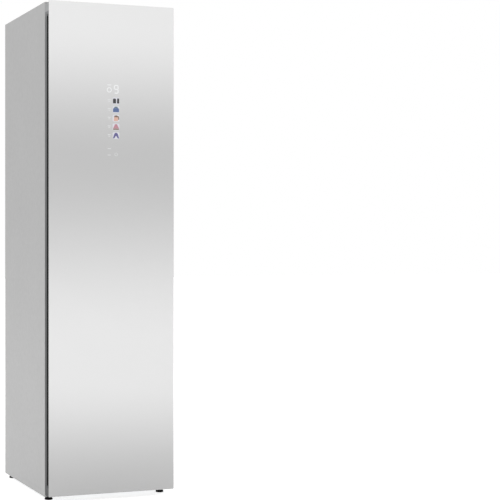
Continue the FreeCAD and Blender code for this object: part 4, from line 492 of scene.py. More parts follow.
def anodised(name, head, foot, end):
    """Dull anodised profile with a painted reflection, darker lower down and painted lighter at its upper
    end, and a black bonding strip next to the glass that is partly a real bond and partly painted shadow of
    the groove."""
    f = Finish(name, Specular_IOR_Level=0.08)
    lines = f.noise(1800, 3, DRAWN["Z"])
    level = f.between(f.along("Z"), 0, 0.7, GLASS.high.z - EDGE_LIGHT, GLASS.high.z - EDGE_LIGHT / 3)
    graded = f.mixed(level, reflection_graded_edge(f, head, foot), end)
    # Near-black strip: partly a real bond, partly painted shadow of the grip groove
    bond_and_shadow = f.maths("LESS_THAN", f.along("Y"), GLASS.high.y + BOND_WIDTH)
    f.paint(f.mixed(bond_and_shadow, f.paled(lines, graded, 0.04), tone(10)))
    return f.surfaced(lines, 0.42, 0.56, lines, 0.02 * MM)


def reflection_graded_cap(name, head, foot):
    """Grained plastic of the door's end caps, with a painted reflection: light at the top of the door and
    dark at its foot.
    """
    f = Finish(name, Specular_IOR_Level=0.1)
    f.paint(f.paled(f.noise(14), reflection_graded_edge(f, head, foot), 0.05))
    return f.eroded(0.44, 0.56)


def galvanised(name, colour):
    """Zinc-coated sheet: crystal patches that differ a little in tone and gloss."""
    f = Finish(name, Metallic=0.85)
    patch = f.patches(95)
    f.varied(patch, colour, 0.06)
    return f.surfaced(patch, 0.36, 0.5, f.noise(260, 3), 0.03 * MM)


def rubber(name, colour, roughness=0.7, **constants):
    """Matt rubber or soft vinyl with a dusty, finely pitted surface."""
    f = Finish(name, **constants)
    f.varied(f.noise(35, 3), colour, 0.12)
    return f.surfaced(f.noise(500, 3), roughness - 0.08, roughness + 0.1, f.noise(1300, 3), 0.05 * MM)


def felted(name, colour):
    """Needled fibre felt: tangled fibres from two noises pulled in different directions."""
    f = Finish(name, Roughness=0.95, Sheen_Weight=0.25)
    fibres = f.maths("MAXIMUM", f.noise(500, 4, (0.15, 1, 1)), f.noise(500, 4, (1, 1, 0.15)))
    f.varied(fibres, colour, 0.22)
    f.bump(fibres, 0.6 * MM)
    return f.material


# Level scale of a tank: pitch of its short and long lines with the share of it that they cover, how far
# from the cabinet's middle they start and end, and the scale's heights
SHORT_LINES, LONG_LINES = (20 * MM, 0.06), (100 * MM, 0.1)
SHORT_START, LONG_START, SCALE_END = 184 * MM, 176 * MM, 194 * MM
SCALE_LOW, SCALE_HIGH, SCALE_BLUR = 215 * MM, 345 * MM, 0.2 * MM


def clear_tank(name, colour):
    """Smoked translucent plastic, with a printed scale of levels at the outer end of the front."""
    f = Finish(name, Transmission_Weight=0.7, IOR=1.49)
    reach, z = f.maths("ABSOLUTE", f.along("X")), f.along("Z")
    front = f.maths("LESS_THAN", f.along("Y"), TANK.low.y + 1 * MM)
    short, tall = (f.field((reach, start, SCALE_END, SCALE_BLUR), (z, SCALE_LOW, SCALE_HIGH, SCALE_BLUR))
                   for start in (SHORT_START, LONG_START))
    tall = f.maths("MULTIPLY", f.lines(z, *LONG_LINES), tall)
    scale = f.maths("MULTIPLY", f.lines(z, *SHORT_LINES), f.maths("MAXIMUM", short, tall))
    clouded = f.mixed(f.noise(20), colour, [c * 0.95 for c in colour])
    f.paint(f.mixed(f.maths("MULTIPLY", scale, front), clouded, tone(236)))
    return f.surfaced(f.noise(300, 3), 0.14, 0.24, f.noise(700, 2), 0.02 * MM)


def finned(name, colour):
    """Coil of aluminium fins: fine ribs and a scatter of tarnish."""
    f = Finish(name, Metallic=0.9)
    f.varied(f.noise(90, 4), colour, 0.15)
    return f.surfaced(f.noise(200, 3), 0.3, 0.5, f.waves(900, "Z"), 0.1 * MM)


def copper(name):
    """Copper pipe with brown tarnish in patches."""
    f = Finish(name, Metallic=1.0)
    f.paint(f.mixed(f.noise(25, 4), tone(196, 120, 84), tone(140, 84, 62)))
    return f.surfaced(f.noise(120, 3), 0.25, 0.45, f.noise(500, 2), 0.03 * MM)


def circuit(name):
    """Lacquered circuit board: green with finer tracks."""
    f = Finish(name, Coat_Weight=0.4)
    tracks = f.cells(160, "DISTANCE_TO_EDGE", (1, 1, 0.4))["Distance"]
    f.paint(f.mixed(f.between(tracks, 0, 1, 0.0, 0.12), tone(96, 128, 70), tone(18, 74, 44)))
    return f.surfaced(f.noise(200), 0.3, 0.45, tracks, 0.1 * MM)


def diffuser(name):
    """Ribbed opal cover of the lamp, which glows faintly."""
    f = Finish(name, Emission_Strength=0.6, Emission_Color=(1.0, 0.97, 0.92, 1))
    ribs = f.waves(260, "X")
    f.varied(ribs, tone(240, 240, 236), 0.04)
    return f.surfaced(ribs, 0.3, 0.45, ribs, 0.4 * MM)


# Painted reflection on the silvered glass, lighter and darker bands over its height: a share of the height
# and a share of full brightness
GLASS_PAINTED_REFLECTION = ((0.0, 0.08), (0.235, 1.0), (0.31, 1.0), (0.685, 0.08), (0.96, 1.0))


def silvered_glass(name, bright, shade):
    """Back-silvered glass: a clear coat over a fine metal flake, with a painted reflection that grades its
    tone over its height.
    """
    f = Finish(name, Coat_Weight=0.45, Coat_Roughness=0.02, Coat_IOR=1.5, Specular_IOR_Level=0.2)
    level = f.between(f.along("Z"), 0, 1, GLASS.low.z, GLASS.high.z)
    # Painted reflection: a ramp by height between the shaded and the bright tone
    grade = f.node("ValToRGB", {"Fac": level})["Color"]
    ramp = grade.node.color_ramp
    ramp.interpolation = "EASE"
    for element, (share, amount) in zip(ramp.elements, (GLASS_PAINTED_REFLECTION[0], GLASS_PAINTED_REFLECTION[-1])):
        element.position, element.color = share, (amount, amount, amount, 1)
    for share, amount in GLASS_PAINTED_REFLECTION[1:-1]:
        ramp.elements.new(share).color = (amount, amount, amount, 1)
    flake = f.noise(2400, 1)
    face = f.paled(flake, f.mixed(grade, shade, bright), 0.04)
    rim = f.maths("GREATER_THAN", f.along("Y"), GLASS.low.y + GLASS_RIM)
    f.paint(f.mixed(rim, face, tone(84, 92, 90)))
    f.paint(f.between(flake, 0.3, 0.42), "Roughness")
    return f.material


def lit_print(name, colour, strength=0.05):
    """Printed or lit mark behind the glass, with a slightly uneven ink."""
    f = Finish(name, Roughness=0.4, Emission_Strength=strength, Emission_Color=(*colour, 1), Coat_Weight=1.0,
               Coat_Roughness=0.02)
    f.varied(f.noise(700, 2), colour, 0.05)
    return f.material


# Outlines of the display
def mirrored(*half):
    """Outline from the points of its one half, and the same half mirrored, backwards."""
    return half + tuple((-x, z) for x, z in half[::-1])


# Pictures on the program tiles, in units of half the tile
GARMENTS = (
    (("ink_navy", ((-0.92, -0.85), (-0.92, 0.45), (-0.62, 0.85), (-0.46, 0.6), (-0.3, 0.85), (0, 0.45),
                   (0, -0.85))),
     ("ink_navy", ((0.26, -0.85), (0.34, 0.8), (0.94, 0.8), (0.94, -0.85)))),
    (("ink_blue", mirrored((-0.9, -0.85), (-0.9, 0.2), (-0.7, 0.46))),
     ("ink_teal", mirrored((-0.66, 0.5), (-0.34, 0.92)))),
    (("ink_peach", ((-0.7, -0.9), (-0.6, 0.3), (0.6, 0.3), (0.62, -0.9))),
     ("ink_brown", ((-0.6, 0.32), (-0.5, 0.8), (0.1, 0.95), (0.85, 0.6), (0.95, -0.45), (0.66, -0.45),
                    (0.62, 0.32)))),
    (("ink_pink", mirrored((-0.9, -0.5), (-0.45, 0.55), (-0.3, 0.9))),
     ("ink_olive", mirrored((-0.84, -0.95), (-0.9, -0.54)))),
    (("ink_purple", mirrored((-0.95, -0.9), (-0.5, 0.6), (-0.2, 0.92))
      + mirrored((0.5, -0.9), (0.1, -0.1))),),
)
INKS = {
    "ink_navy": (9, 8, 15),
    "ink_blue": (70, 94, 142),
    "ink_teal": (62, 98, 108),
    "ink_peach": (212, 168, 150),
    "ink_brown": (112, 88, 70),
    "ink_pink": (180, 126, 138),
    "ink_olive": (120, 104, 84),
    "ink_purple": (80, 76, 130),
}
# Centres of the strokes of the large figure, a nine; those at its sides stand upright
STROKES = ((0, 1), (1, 0.5), (1, -0.5), (0, -1), (-1, 0.5), (0, 0))


def stroke(centre, length, width, stands):
    """Bar with pointed ends about a centre: six points, turned when it stands."""
    half, edge = length / 2, width / 2
    shape = np.array([(-half, 0), (-half + edge, edge), (half - edge, edge), (half, 0), (half - edge, -edge),
                      (-half + edge, -edge)])
    return (shape[:, ::-1] if stands else shape) + centre


def bar(x, z, width, height):
    """Short bar with round corners."""
    return rounded_loop(width, height, min(width, height) * 0.4) + (x, z)


def round_mark(centre, radius, width, parts, rise, size, steps=40):
    """Bands along a circle, each the outer arc's points one way and the inner arc's back, and a bar."""
    bands = []
    for start, sweep in parts:
        outer, inner = (arc((0, 0), r, start, start + sweep, steps) for r in (radius, radius - width))
        bands.append(np.concatenate([outer, inner[::-1]]) + centre)
    return bands + [bar(centre[0], centre[1] + rise, *size)]


# Operators
WHITE = (1, 1, 1, 1)


def any_ray(tree, *kinds):
    """1 for rays of the given kinds, and 0 for all others."""
    rays = add_node(tree, "LightPath", {})
    seen = rays[kinds[0]]
    for kind in kinds[1:]:
        seen = add_node(tree, "Math", {0: seen, 1: rays[kind]}, operation="MAXIMUM")[0]
    return seen


class STEAM_OT_stage(bpy.types.Operator):
    """Camera, lamps, world and floor"""

    bl_idname = "steam_cabinet.stage"
    bl_label = "Stage"

    # Place of each lamp, and the setting that holds its power
    LAMPS = {
        "front_lamp": ((-0.6, -4.6, 2.4), "key"),
        "left_lamp": ((-4.6, -0.4, 2.2), "fill"),
        "right_lamp": ((4.6, -0.8, 2.2), "fill"),
        "rear_lamp": ((0.4, 4.6, 2.4), "fill"),
    }
    LAMP_AIM, LAMP_SIZE = (0.0, 0.0, 1.0), 3.6
    FLOOR_REACH, FLOOR_COLOUR = 30.0, (0.8, 0.8, 0.8, 1)

    def execute(self, context):
        scene, stage = context.scene, settings(context).stage
        scene.view_settings.view_transform = "Standard"
        scene.camera = self.camera(stage)
        scene.world = self.world(stage)
        self.floor(stage)
        for name, (place, power) in self.LAMPS.items():
            self.lamp(name, Vector(place), getattr(stage, power))
        return {"FINISHED"}

    def camera(self, stage):
        """Level camera at its place."""
        data = bpy.data.cameras.new("camera")
        data.lens, data.shift_x, data.shift_y = stage.lens, stage.shift_x, stage.shift_y
        camera = linked("camera", data)
        camera.location = (stage.camera_x, stage.camera_y, stage.camera_z)
        camera.rotation_euler = (math.pi / 2, 0, -stage.heading)
        return camera

    def world(self, stage):
        """Soft light for matt surfaces, and plain white for what is seen, mirrored or looked through."""
        world = bpy.data.worlds.new("studio")
        world.use_nodes = True
        tree = world.node_tree
        tree.nodes.clear()
        light, plain = (add_node(tree, "Background", {"Color": WHITE, "Strength": strength})[0]
                        for strength in (stage.ambient, 1))
        seen = any_ray(tree, "Is Camera Ray", "Is Glossy Ray", "Is Transmission Ray")
        mix = add_node(tree, "MixShader", {0: seen, 1: light, 2: plain})[0]
        add_node(tree, "OutputWorld", {0: mix})
        return world

    def floor(self, stage):
        """Pale matt floor that shows white where no shadow falls."""
        reach = self.FLOOR_REACH
        mesh = bpy.data.meshes.new("floor")
        corners = [(-reach, -reach, 0), (reach, -reach, 0), (reach, reach, 0), (-reach, reach, 0)]
        mesh.from_pydata(corners, [], [(0, 1, 2, 3)])
        f = Finish("pale_floor", Base_Color=self.FLOOR_COLOUR, Roughness=0.9, Specular_IOR_Level=0.0,
                   Emission_Color=WHITE)
        seen = any_ray(f.tree, "Is Camera Ray", "Is Glossy Ray")
        f.paint(f.maths("MULTIPLY", seen, stage.floor_glow), "Emission Strength")
        mesh.materials.append(f.material)
        floor = linked("floor", mesh)

    def lamp(self, name, place, power):
        """Square lamp that lights the cabinet's middle, unseen by the camera and in reflections."""
        data = bpy.data.lights.new(name, "AREA")
        data.shape, data.size, data.energy = "SQUARE", self.LAMP_SIZE, power
        lamp = linked(name, data)
        lamp.location = place
        lamp.rotation_euler = (Vector(self.LAMP_AIM) - place).to_track_quat("-Z", "Y").to_euler()
        lamp.visible_camera = lamp.visible_glossy = False


class STEAM_OT_finishes(bpy.types.Operator):
    """Finish of every node of the frame"""

    bl_idname = "steam_cabinet.finishes"
    bl_label = "Finishes"

    def execute(self, context):
        colours = settings(context).colours
        finishes = [
            (painted("casing_paint", colours.casing), "side_panel_left side_panel_right top_panel"),
            (painted("frame_paint", tone(206, 207, 207), 0.45), "front_frame"),
            (galvanised("zinc_sheet", tone(172, 175, 178)), "rear_panel drive_plate base_frame"),
            (brushed("zinc_screws", tone(186, 188, 190), 0.35), "case_screws hinge_brackets"),
            (brushed("ground_steel", tone(176, 178, 181), 0.18), "hinge_pins guide_rods hanger_bar"),
            (moulded("nylon", tone(228, 226, 216), 0.5), "hinge_bushes crank_pulley motor_pulley"),
            # Profiles and caps carry the door edge's painted reflection
            (anodised("edge_profile", colours.door_edge, colours.door_edge_reflection_foot, colours.door_cap),
             "door_grip_profile door_hinge_profile"),
            (reflection_graded_cap("cap_plastic", colours.door_cap, colours.door_edge_reflection_foot),
             "door_cap_top door_cap_bottom"),
            (moulded("door_lining", tone(228, 229, 228), 0.4, cloud=3, amount=0.012), "door_liner"),
            (moulded("chamber_lining", colours.interior, 0.37, cloud=3, amount=0.012), "chamber_liner"),
            (moulded("chamber_base", tone(196, 198, 199), 0.45), "chamber_floor shelf tank_bay"),
            (moulded("dark_fitting", tone(78, 80, 84), 0.45), "air_outlet_grille steam_nozzle mains_gland"),
            (filter_mesh("filter_plastic", tone(78, 80, 84)), "lint_filter"),
            (moulded("black_plastic", tone(44, 45, 48), 0.5), "control_box blower_wheel"),
            (rubber("foot_rubber", tone(5), Specular_IOR_Level=0.15), FEET),
            (diffuser("lamp_cover"), "chamber_lamp"),
            (brushed("milled_aluminium", tone(190, 192, 194), 0.32, along="X"), "hanger_carriage"),
            (painted("motor_paint", tone(150, 152, 156), 0.35), "shaker_motor blower_motor"),
            (rubber("belt_rubber", tone(36, 36, 38)), "drive_belt water_hoses"),
            (clear_tank("tank_plastic", tone(176, 190, 199)), "supply_tank drain_tank"),
            (moulded("tank_lid_plastic", tone(96, 118, 138)), "supply_tank_lid drain_tank_lid"),
            (moulded("duct_plastic", tone(120, 122, 124), 0.5), "air_duct blower_housing"),
            (finned("coil_fins", tone(196, 198, 200)), "evaporator_coil condenser_coil"),
            (painted("compressor_enamel", tone(34, 35, 37), 0.3), "compressor"),
            (copper("copper_pipe"), "refrigerant_pipes"),
            (brushed("cast_boiler", tone(166, 168, 170), 0.45), "steam_generator water_pumps"),
            (felted("needle_felt", tone(150, 150, 148)), "insulation_pads"),
            (felted("foam", tone(214, 200, 150)), "door_foam"),
            (circuit("circuit_board"), "touch_board"),
            (rubber("door_seal_vinyl", colours.seal, 0.6), "door_gasket"),
            (moulded("hanger_plastic", colours.hanger, 0.4), HANGERS),
            (silvered_glass("silvered_glass", colours.glass_reflection_bright, colours.glass_reflection_shade), "door_glass"),
        ]
        given = {node: material for material, nodes in finishes for node in nodes.split()}
        if set(given) != set(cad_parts):
            raise RuntimeError(f"finishes and nodes differ: {sorted(set(given) ^ set(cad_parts))}")
        for node, material in given.items():
            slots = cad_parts[node].data.materials
            slots.clear()
            slots.append(material)
        return {"FINISHED"}


class STEAM_OT_glass_front(bpy.types.Operator):
    """Silvered glass with polished edges"""

    bl_idname = "steam_cabinet.glass_front"
    bl_label = "Glass front"

    def execute(self, context):
        """Plate whose front and back edges are quarter rounds of one radius."""
        sizes = settings(context).sizes
        turn = np.linspace(0, np.pi / 2, 5)
        inset, depth = sizes.glass_edge * (1 - np.sin(turn)), sizes.glass_edge * (1 - np.cos(turn))
        y = np.append(GLASS.low.y + sizes.print_height + depth, GLASS.high.y - depth[::-1])
        pane = plate(GLASS.middle[[0, 2]], GLASS.size[0], GLASS.size[2], sizes.glass_corner,
                     np.append(inset, inset[::-1]), y)
        made = piece("glass_front", [pane], "silvered_glass", "door")
        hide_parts("door_glass")
        return {"FINISHED"}


class STEAM_OT_display(bpy.types.Operator):
    """Figure, program tiles and touch marks on the glass"""

    bl_idname = "steam_cabinet.display"
    bl_label = "Display"

    # Centres in X and Z, with the large figure and the ring side by side above a column of tiles
    FIGURE_AT, TILES_AT, TILE_PITCH = (0.0152, 1.5310), (0.0145, 1.4880), 32.5 * MM
    LABELS_X, TOUCH_MARKS_AT = -12.4 * MM, ((-0.0125, 1.3086), (-0.0125, 1.2850))

    # Round marks: centre, radius and width of the ring, start and sweep of its parts in degrees, rise of
    # the bar above the centre, and the bar's width and height
    RING = (-0.0123, 1.5280), 9.5 * MM, 2.6 * MM, ((0, 180), (180, 180)), 18.5 * MM, (16 * MM, 2.6 * MM)
    POWER = (0.0150, 1.2880), 6.2 * MM, 1.2 * MM, ((120, 300),), 4.5 * MM, (1.2 * MM, 6.2 * MM)

    # Widths and heights of the other printed bars
    LONG_LABEL, SHORT_LABEL, LABEL_RISE = (12 * MM, 2.6 * MM), (8 * MM, 2 * MM), 3 * MM
    TOUCH_MARK = (13 * MM, 2.2 * MM)
    TILE_CORNER = 1 / 6  # corner radius of a tile as a share of its width
    PICTURE_SHARE = (0.98, 0.92)  # width and height of a picture as shares of its tile's
    STROKE_WIDTH, STROKE_GAP = 0.1, 0.15  # shares of the figure's height, and of a stroke's width

    def execute(self, context):
        sizes = settings(context).sizes
        lit_print("print_white", tone(238, 239, 240), 0.03)
        lit_print("print_faint", tone(222, 223, 224), 0.02)
        self.show(sizes, "display_figure", self.figure(sizes.digit_height), "print_white")
        self.show(sizes, "display_ring", round_mark(*self.RING), "print_white")
        self.show(sizes, "display_labels", self.labels(), "print_faint")
        self.show(sizes, "power_mark", round_mark(*self.POWER), "print_faint")
        self.tiles(sizes)
        return {"FINISHED"}

    def show(self, sizes, name, outlines, finish, share=1.0):
        """Prints with their front at the glass box's face, or a share of the print height before the pane,
        that reach as far as the print height into the pane."""
        face = GLASS.low.y + sizes.print_height
        layers = (face - share * sizes.print_height, face + sizes.print_height)
        prints = [lofted(upright(np.asarray(outline), (0, 0), layers)) for outline in outlines]
        piece(name, prints, finish, "door")

    def tiles(self, sizes):
        """Pale tiles that stand half as high as the pictures on them."""
        lit_print("tile_glow", tone(213, 213, 221), 0.03)
        for ink, levels in INKS.items():
            lit_print(ink, tone(*levels))
        size = np.array([sizes.tile_width, sizes.tile_height])
        for k, picture in enumerate(GARMENTS):
            centre = np.array(self.TILES_AT) - (0, k * self.TILE_PITCH)
            tile = rounded_loop(*size, sizes.tile_width * self.TILE_CORNER) + centre
            self.show(sizes, f"tile_{k + 1}", [tile], "tile_glow", share=0.5)
            for ink in dict.fromkeys(name for name, _ in picture):
                shapes = [outline for name, outline in picture if name == ink]
                outlines = [np.array(shape) * size / 2 * self.PICTURE_SHARE + centre for shape in shapes]
                self.show(sizes, f"tile_{k + 1}_{ink}", outlines, ink)

    def figure(self, height):
        """Figure of pointed strokes, half as wide as it is high."""
        width = height * self.STROKE_WIDTH
        across = (height - 2 * width) / 4
        length = 2 * across - width * self.STROKE_GAP
        return [stroke(np.array(place) * (across, 2 * across) + self.FIGURE_AT, length, width, place[0] != 0)
                for place in STROKES]

    def labels(self):
        """A long and a short bar beside each tile, and the two touch marks below."""
        heights = self.TILES_AT[1] - np.arange(len(GARMENTS)) * self.TILE_PITCH
        long = [bar(self.LABELS_X, z + self.LABEL_RISE, *self.LONG_LABEL) for z in heights]
        short = [bar(self.LABELS_X, z - self.LABEL_RISE, *self.SHORT_LABEL) for z in heights]
        return long + short + [bar(*place, *self.TOUCH_MARK) for place in self.TOUCH_MARKS_AT]


class STEAM_OT_grip_lining(bpy.types.Operator):
    """Black lining of the finger groove: painted shadow of its recess"""

    bl_idname = "steam_cabinet.grip_lining"
    bl_label = "Grip lining"

    WALL, DEPTH, WIDTH = 0.8 * MM, 22 * MM, 15 * MM
    TOP_MARGIN, BOTTOM_MARGIN = 56 * MM, 40 * MM

    def execute(self, context):
        """Upright channel, open to the left: its section at the foot and at the top."""
        x0, x1 = GRIP.low.x, GRIP.low.x + self.DEPTH
        y0 = GLASS.high.y + BOND_WIDTH
        y1, wall = y0 + self.WIDTH, self.WALL
        section = np.array([(x0, y0), (x1, y0), (x1, y1), (x0, y1), (x0, y1 - wall), (x1 - wall, y1 - wall),
                            (x1 - wall, y0 + wall), (x0, y0 + wall)])
        heights = (GLASS.low.z + self.BOTTOM_MARGIN, GLASS.high.z - self.TOP_MARGIN)
        loops = np.array([np.insert(section, 2, z, axis=1) for z in heights])
        # Near-black sheet where the groove only has shade: painted shadow
        moulded("groove_black", tone(10), 0.7, Specular_IOR_Level=0.1)
        piece("grip_lining", [lofted(loops)], "groove_black", "door")
        return {"FINISHED"}


class STEAM_OT_door_seal(bpy.types.Operator):
    """Magnetic door seal with folded sides"""

    bl_idname = "steam_cabinet.door_seal"
    bl_label = "Door seal"

    WIDTH, EDGE, CORNER = 12 * MM, 1.8 * MM, 18 * MM

    def execute(self, context):
        """Rounded rectangles, one for each point of the section: a rounded bar whose two sides are drawn
        in by a fold times 1 - (2 v / depth) squared at a height v from its middle."""
        half, depth = self.WIDTH / 2, SEAL.size[1]
        u, v = rounded_loop(self.WIDTH, depth, self.EDGE, 5).T
        inset = half - u * (1 - (1 - (2 * v / depth) ** 2) * settings(context).sizes.seal_wall / half)
        frames = rounded_loop(SEAL.size[0] - 2 * inset, SEAL.size[2] - 2 * inset, self.CORNER - inset, 8)
        ring = ringed(upright(frames, SEAL.middle[[0, 2]], SEAL.middle[1] + v))
        made = piece("door_seal", [ring], "door_seal_vinyl", "door")
        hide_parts("door_gasket")
        return {"FINISHED"}


class STEAM_OT_wall_flutes(bpy.types.Operator):
    """Fluted fields of the chamber's back and sides, and of the door lining's dish"""

    bl_idname = "steam_cabinet.wall_flutes"
    bl_label = "Wall flutes"

    PITCH, DOOR_PITCH = 37 * MM, 55 * MM
    FOOT, TOP, DOOR_FOOT, DOOR_TOP = 0.70, 1.58, 0.50, 1.645
    BACK_WIDTH, SIDE_FRONT, SIDE_WIDTH, DOOR_WIDTH = 370 * MM, -190 * MM, 407 * MM, 330 * MM

    def execute(self, context):
        depth = settings(context).sizes.flute_depth
        x, y = CHAMBER.high.x - WALL, CHAMBER.high.y - WALL
        # Lowest corner, direction across, direction out of the wall, and width
        fields = {
            "chamber_flutes_back": ((-self.BACK_WIDTH / 2, y), (1, 0, 0), (0, -1, 0), self.BACK_WIDTH),
            "chamber_flutes_left": ((-x, self.SIDE_FRONT), (0, 1, 0), (1, 0, 0), self.SIDE_WIDTH),
            "chamber_flutes_right": ((x, self.SIDE_FRONT), (0, 1, 0), (-1, 0, 0), self.SIDE_WIDTH),
        }
        for name, (corner, across, out, width) in fields.items():
            field = fluted_field((*corner, self.FOOT), across, out, (width, self.TOP - self.FOOT),
                                 self.PITCH, depth)
            piece(name, [field], "chamber_lining", "cabinet")
        dish = fluted_field((-self.DOOR_WIDTH / 2, LINING.low.y + WALL, self.DOOR_FOOT), (1, 0, 0), (0, 1, 0),
                            (self.DOOR_WIDTH, self.DOOR_TOP - self.DOOR_FOOT), self.DOOR_PITCH, depth)
        piece("door_flutes", [dish], "door_lining", "door")
        return {"FINISHED"}


class STEAM_OT_rear_fields(bpy.types.Operator):
    """Pressed fields of the rear panel"""

    bl_idname = "steam_cabinet.rear_fields"
    bl_label = "Rear fields"

    FIELDS = {"rear_field_lower": (0.36, 0.98), "rear_field_upper": (1.06, 1.72)}  # foot and top
    WIDTH, CORNER, EDGE, SINK = 380 * MM, 32 * MM, 12 * MM, 0.4 * MM
    BEAD_AT, BEAD_HALF, BEAD_DEPTH, STEPS = 29 * MM, 9 * MM, 1.8 * MM, 39

    def execute(self, context):
        """Rounded rectangles that rise smoothly over their edge from under the sheet's face, with a bead
        further in that dips by half a cosine wave."""
        height = settings(context).sizes.pressed_height
        inset = np.linspace(0, self.BEAD_AT + self.BEAD_HALF, self.STEPS)
        turn = np.pi * np.clip((inset - self.BEAD_AT) / self.BEAD_HALF, -1, 1)
        proud = (height + self.SINK) * smooth(inset, self.EDGE) - self.BEAD_DEPTH * (1 + np.cos(turn)) / 2
        for name, (foot, top) in self.FIELDS.items():
            field = plate((0, (foot + top) / 2), self.WIDTH, top - foot, self.CORNER, inset,
                          REAR.high.y - self.SINK + proud)
            piece(name, [field], "zinc_sheet", "cabinet")
        return {"FINISHED"}


class STEAM_OT_hangers(bpy.types.Operator):
    """Moulded hangers with wire hooks"""

    bl_idname = "steam_cabinet.hangers"
    bl_label = "Hangers"

    # Heights above the tips of the shoulders
    BOW_TOP, DROP = 64.2 * MM, 62 * MM  # middle of the bow at the neck, and its fall to the tips
    NECK = ((8.5, 60.0), (8.5, 78.0), (7.2, 88.0), (5.2, 91.2), (4.0, 91.8))  # radius and height, mm
    STEM_FOOT = 75 * MM  # lower end of the hook's stem, inside the neck

    BAND, WAIST = 12 * MM, 0.62  # half height of the bow at its tips, and the share of it before them
    SWELL, SWELL_REACH = 0.35, 0.12  # share that the neck adds, and the share of the reach it does so over
    END, TIP = 0.045, 0.05  # share of the reach over which the bow closes, and of its section at the end
    FALL_POWER, SQUARENESS = 1.25, 0.8  # powers that shape the bow's fall and its section

    BAR_RADIUS, SEAT_RADIUS, CLEARANCE = 13 * MM, 10 * MM, 0.3 * MM  # the bar, its seats, the hook's gap
    MOUTH, THROAT, BACK = -25, 225, 45  # degrees: ends of the hook's arc, and turn of the return arc

    def execute(self, context):
        sizes = settings(context).sizes
        brushed("hook_wire", tone(196, 198, 200), 0.2)
        for name in HANGERS.split():
            box = Box(name)
            foot = Vector((*box.middle[:2], box.low.z))
            shoulder = [self.bow(foot, box.size[1] / 2, sizes.hanger_thickness), self.neck(foot)]
            hook = [self.hook(foot, sizes.hook_radius)]
            parts = {"shoulder": (shoulder, "hanger_plastic"), "hook": (hook, "hook_wire")}
            for part, (surfaces, finish) in parts.items():
                made = piece(f"{name}_{part}", surfaces, finish, name)
                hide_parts(name)
        return {"FINISHED"}

    def bow(self, foot, half, thickness):
        """Rounded sections along Y: at a share s from -1 to 1 of the reach, the middle lies DROP times |s|
        to a power below the neck, the section swells at the neck and at the tips, and it closes in a
        quarter ellipse over its ends."""
        s = np.sin(np.linspace(-np.pi / 2, np.pi / 2, 61))[:, None]
        reach = np.abs(s)
        middle = foot.z + self.BOW_TOP - self.DROP * reach ** self.FALL_POWER
        swell = self.SWELL * np.exp(-(reach / self.SWELL_REACH) ** 2)
        band = self.BAND * (self.WAIST + (1 - self.WAIST) * reach ** 3 + swell)
        close = np.sqrt(1 - ((reach - 1 + self.END) / self.END).clip(0, 1) ** 2).clip(self.TIP)
        a = np.linspace(0, 2 * np.pi, 28, endpoint=False)
        across, up = (np.sign(turn) * np.abs(turn) ** self.SQUARENESS for turn in (np.cos(a), np.sin(a)))
        x, z = foot.x + thickness / 2 * close * across, middle + band * close * up
        return lofted(np.stack(np.broadcast_arrays(x, foot.y + half * s, z), -1))

    def neck(self, foot):
        """Round neck that narrows to the wire."""
        radius, height = np.array(self.NECK).T * MM
        return turned(radius, foot.z + height, foot, 32)

    def hook(self, foot, wire):
        """Arc round the bar's seat, a return arc that ends upright in the middle, and the stem below it."""
        centre = np.array([foot.y, BAR.low.z + self.BAR_RADIUS])
        around = self.SEAT_RADIUS + self.CLEARANCE + wire
        turn, aside = np.radians((self.BACK, self.THROAT))
        bend = around * np.cos(turn) / (1 - np.cos(turn))
        over = arc(centre, around, self.MOUTH, self.THROAT, 40)
        pivot = centre + (around + bend) * np.array([np.cos(aside), np.sin(aside)])
        back = arc(pivot, bend, self.BACK, 0, 12)[1:]
        stem = np.linspace(back[-1], (back[-1, 0], foot.z + self.STEM_FOOT), 5)[1:]
        return planar_tube(np.concatenate([over, back, stem]), wire, foot.x)


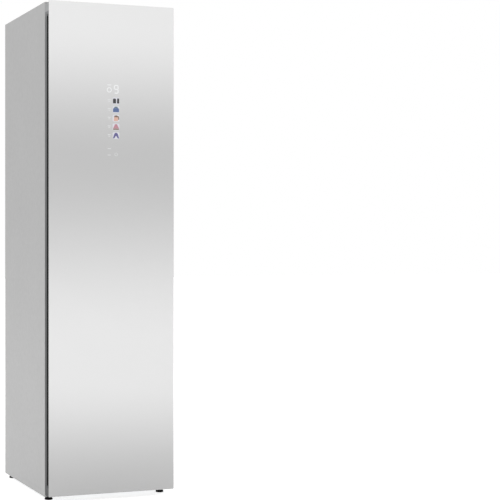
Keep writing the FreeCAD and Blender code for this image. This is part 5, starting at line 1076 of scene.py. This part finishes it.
class STEAM_OT_feet(bpy.types.Operator):
    """Ribbed levelling feet"""

    bl_idname = "steam_cabinet.feet"
    bl_label = "Feet"

    # Pad: inset from its radius as a share of the edge, height in mm and share of the ribs
    EDGE = 1.25 * MM
    PAD = ((1, 0, 0), (0, 1.25, 1), (0, 5.5, 1), (1, 6.8, 0), (3, 8.0, 0))
    NUT = ((8.00, 7.8), (8.66, 8.2), (8.66, 12.1), (8.00, 12.5))  # corner radius and height, mm
    RIB_DEPTH, RIB_SEGMENTS = 0.5 * MM, 6
    THREAD_FOOT, THREAD_PITCH, CREST, ROOT = 12 * MM, 1.5 * MM, 5 * MM, 4.4 * MM

    def execute(self, context):
        ribs = settings(context).sizes.foot_ribs
        for name in FEET.split():
            box = Box(name)
            surfaces = [self.pad(box.middle, box.size[0] / 2, ribs), self.nut(box.middle),
                        self.thread(box.middle, box.high.z)]
            made = piece(f"{name}_ribbed", surfaces, "foot_rubber", name)
            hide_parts(name)
        return {"FINISHED"}

    def pad(self, centre, radius, ribs):
        """Round pad with finger ribs on its side, which reach out to the pad's radius."""
        inset, height, share = np.array(self.PAD, float).T
        r = radius - self.EDGE * inset - self.RIB_DEPTH * share
        return turned(r, height * MM, centre, ribs * self.RIB_SEGMENTS, share, ribs, self.RIB_DEPTH)

    def nut(self, centre):
        """Six-sided nut with eased edges."""
        return turned(*np.array(self.NUT).T * MM, centre, 6)

    def thread(self, centre, top):
        """Stud with a crest and a root in turn over each half pitch."""
        z = np.arange(self.THREAD_FOOT, top - self.THREAD_PITCH / 3, self.THREAD_PITCH / 2)
        return turned(np.where(np.arange(len(z)) % 2, self.CREST, self.ROOT), z, centre, 32)


OPERATORS = (STEAM_OT_stage, STEAM_OT_finishes, STEAM_OT_glass_front, STEAM_OT_display, STEAM_OT_grip_lining,
             STEAM_OT_door_seal, STEAM_OT_wall_flutes, STEAM_OT_rear_fields, STEAM_OT_hangers, STEAM_OT_feet)


class STEAM_PT_panel(bpy.types.Panel):
    """Settings and pieces of the steam cabinet"""

    bl_idname = "STEAM_PT_panel"
    bl_label = "Steam Cabinet"
    bl_space_type = "VIEW_3D"
    bl_region_type = "UI"
    bl_category = "Steam Cabinet"

    def draw(self, context):
        cabinet = settings(context)
        for group in (cabinet.colours, cabinet.sizes, cabinet.stage):
            box = self.layout.box()
            for name in group.__annotations__:
                box.prop(group, name)
        for operator in OPERATORS:
            self.layout.operator(operator.bl_idname)


CLASSES = (CabinetColours, CabinetSizes, StageSettings, CabinetSettings, *OPERATORS, STEAM_PT_panel)


def register():
    for entry in CLASSES:
        bpy.utils.register_class(entry)
    bpy.types.Scene.steam_cabinet = PointerProperty(type=CabinetSettings)


def unregister():
    del bpy.types.Scene.steam_cabinet
    for entry in reversed(CLASSES):
        bpy.utils.unregister_class(entry)


def main():
    register()
    for operator in OPERATORS:
        group, name = operator.bl_idname.split(".")
        getattr(getattr(bpy.ops, group), name)()


if __name__ == "__main__":
    main()
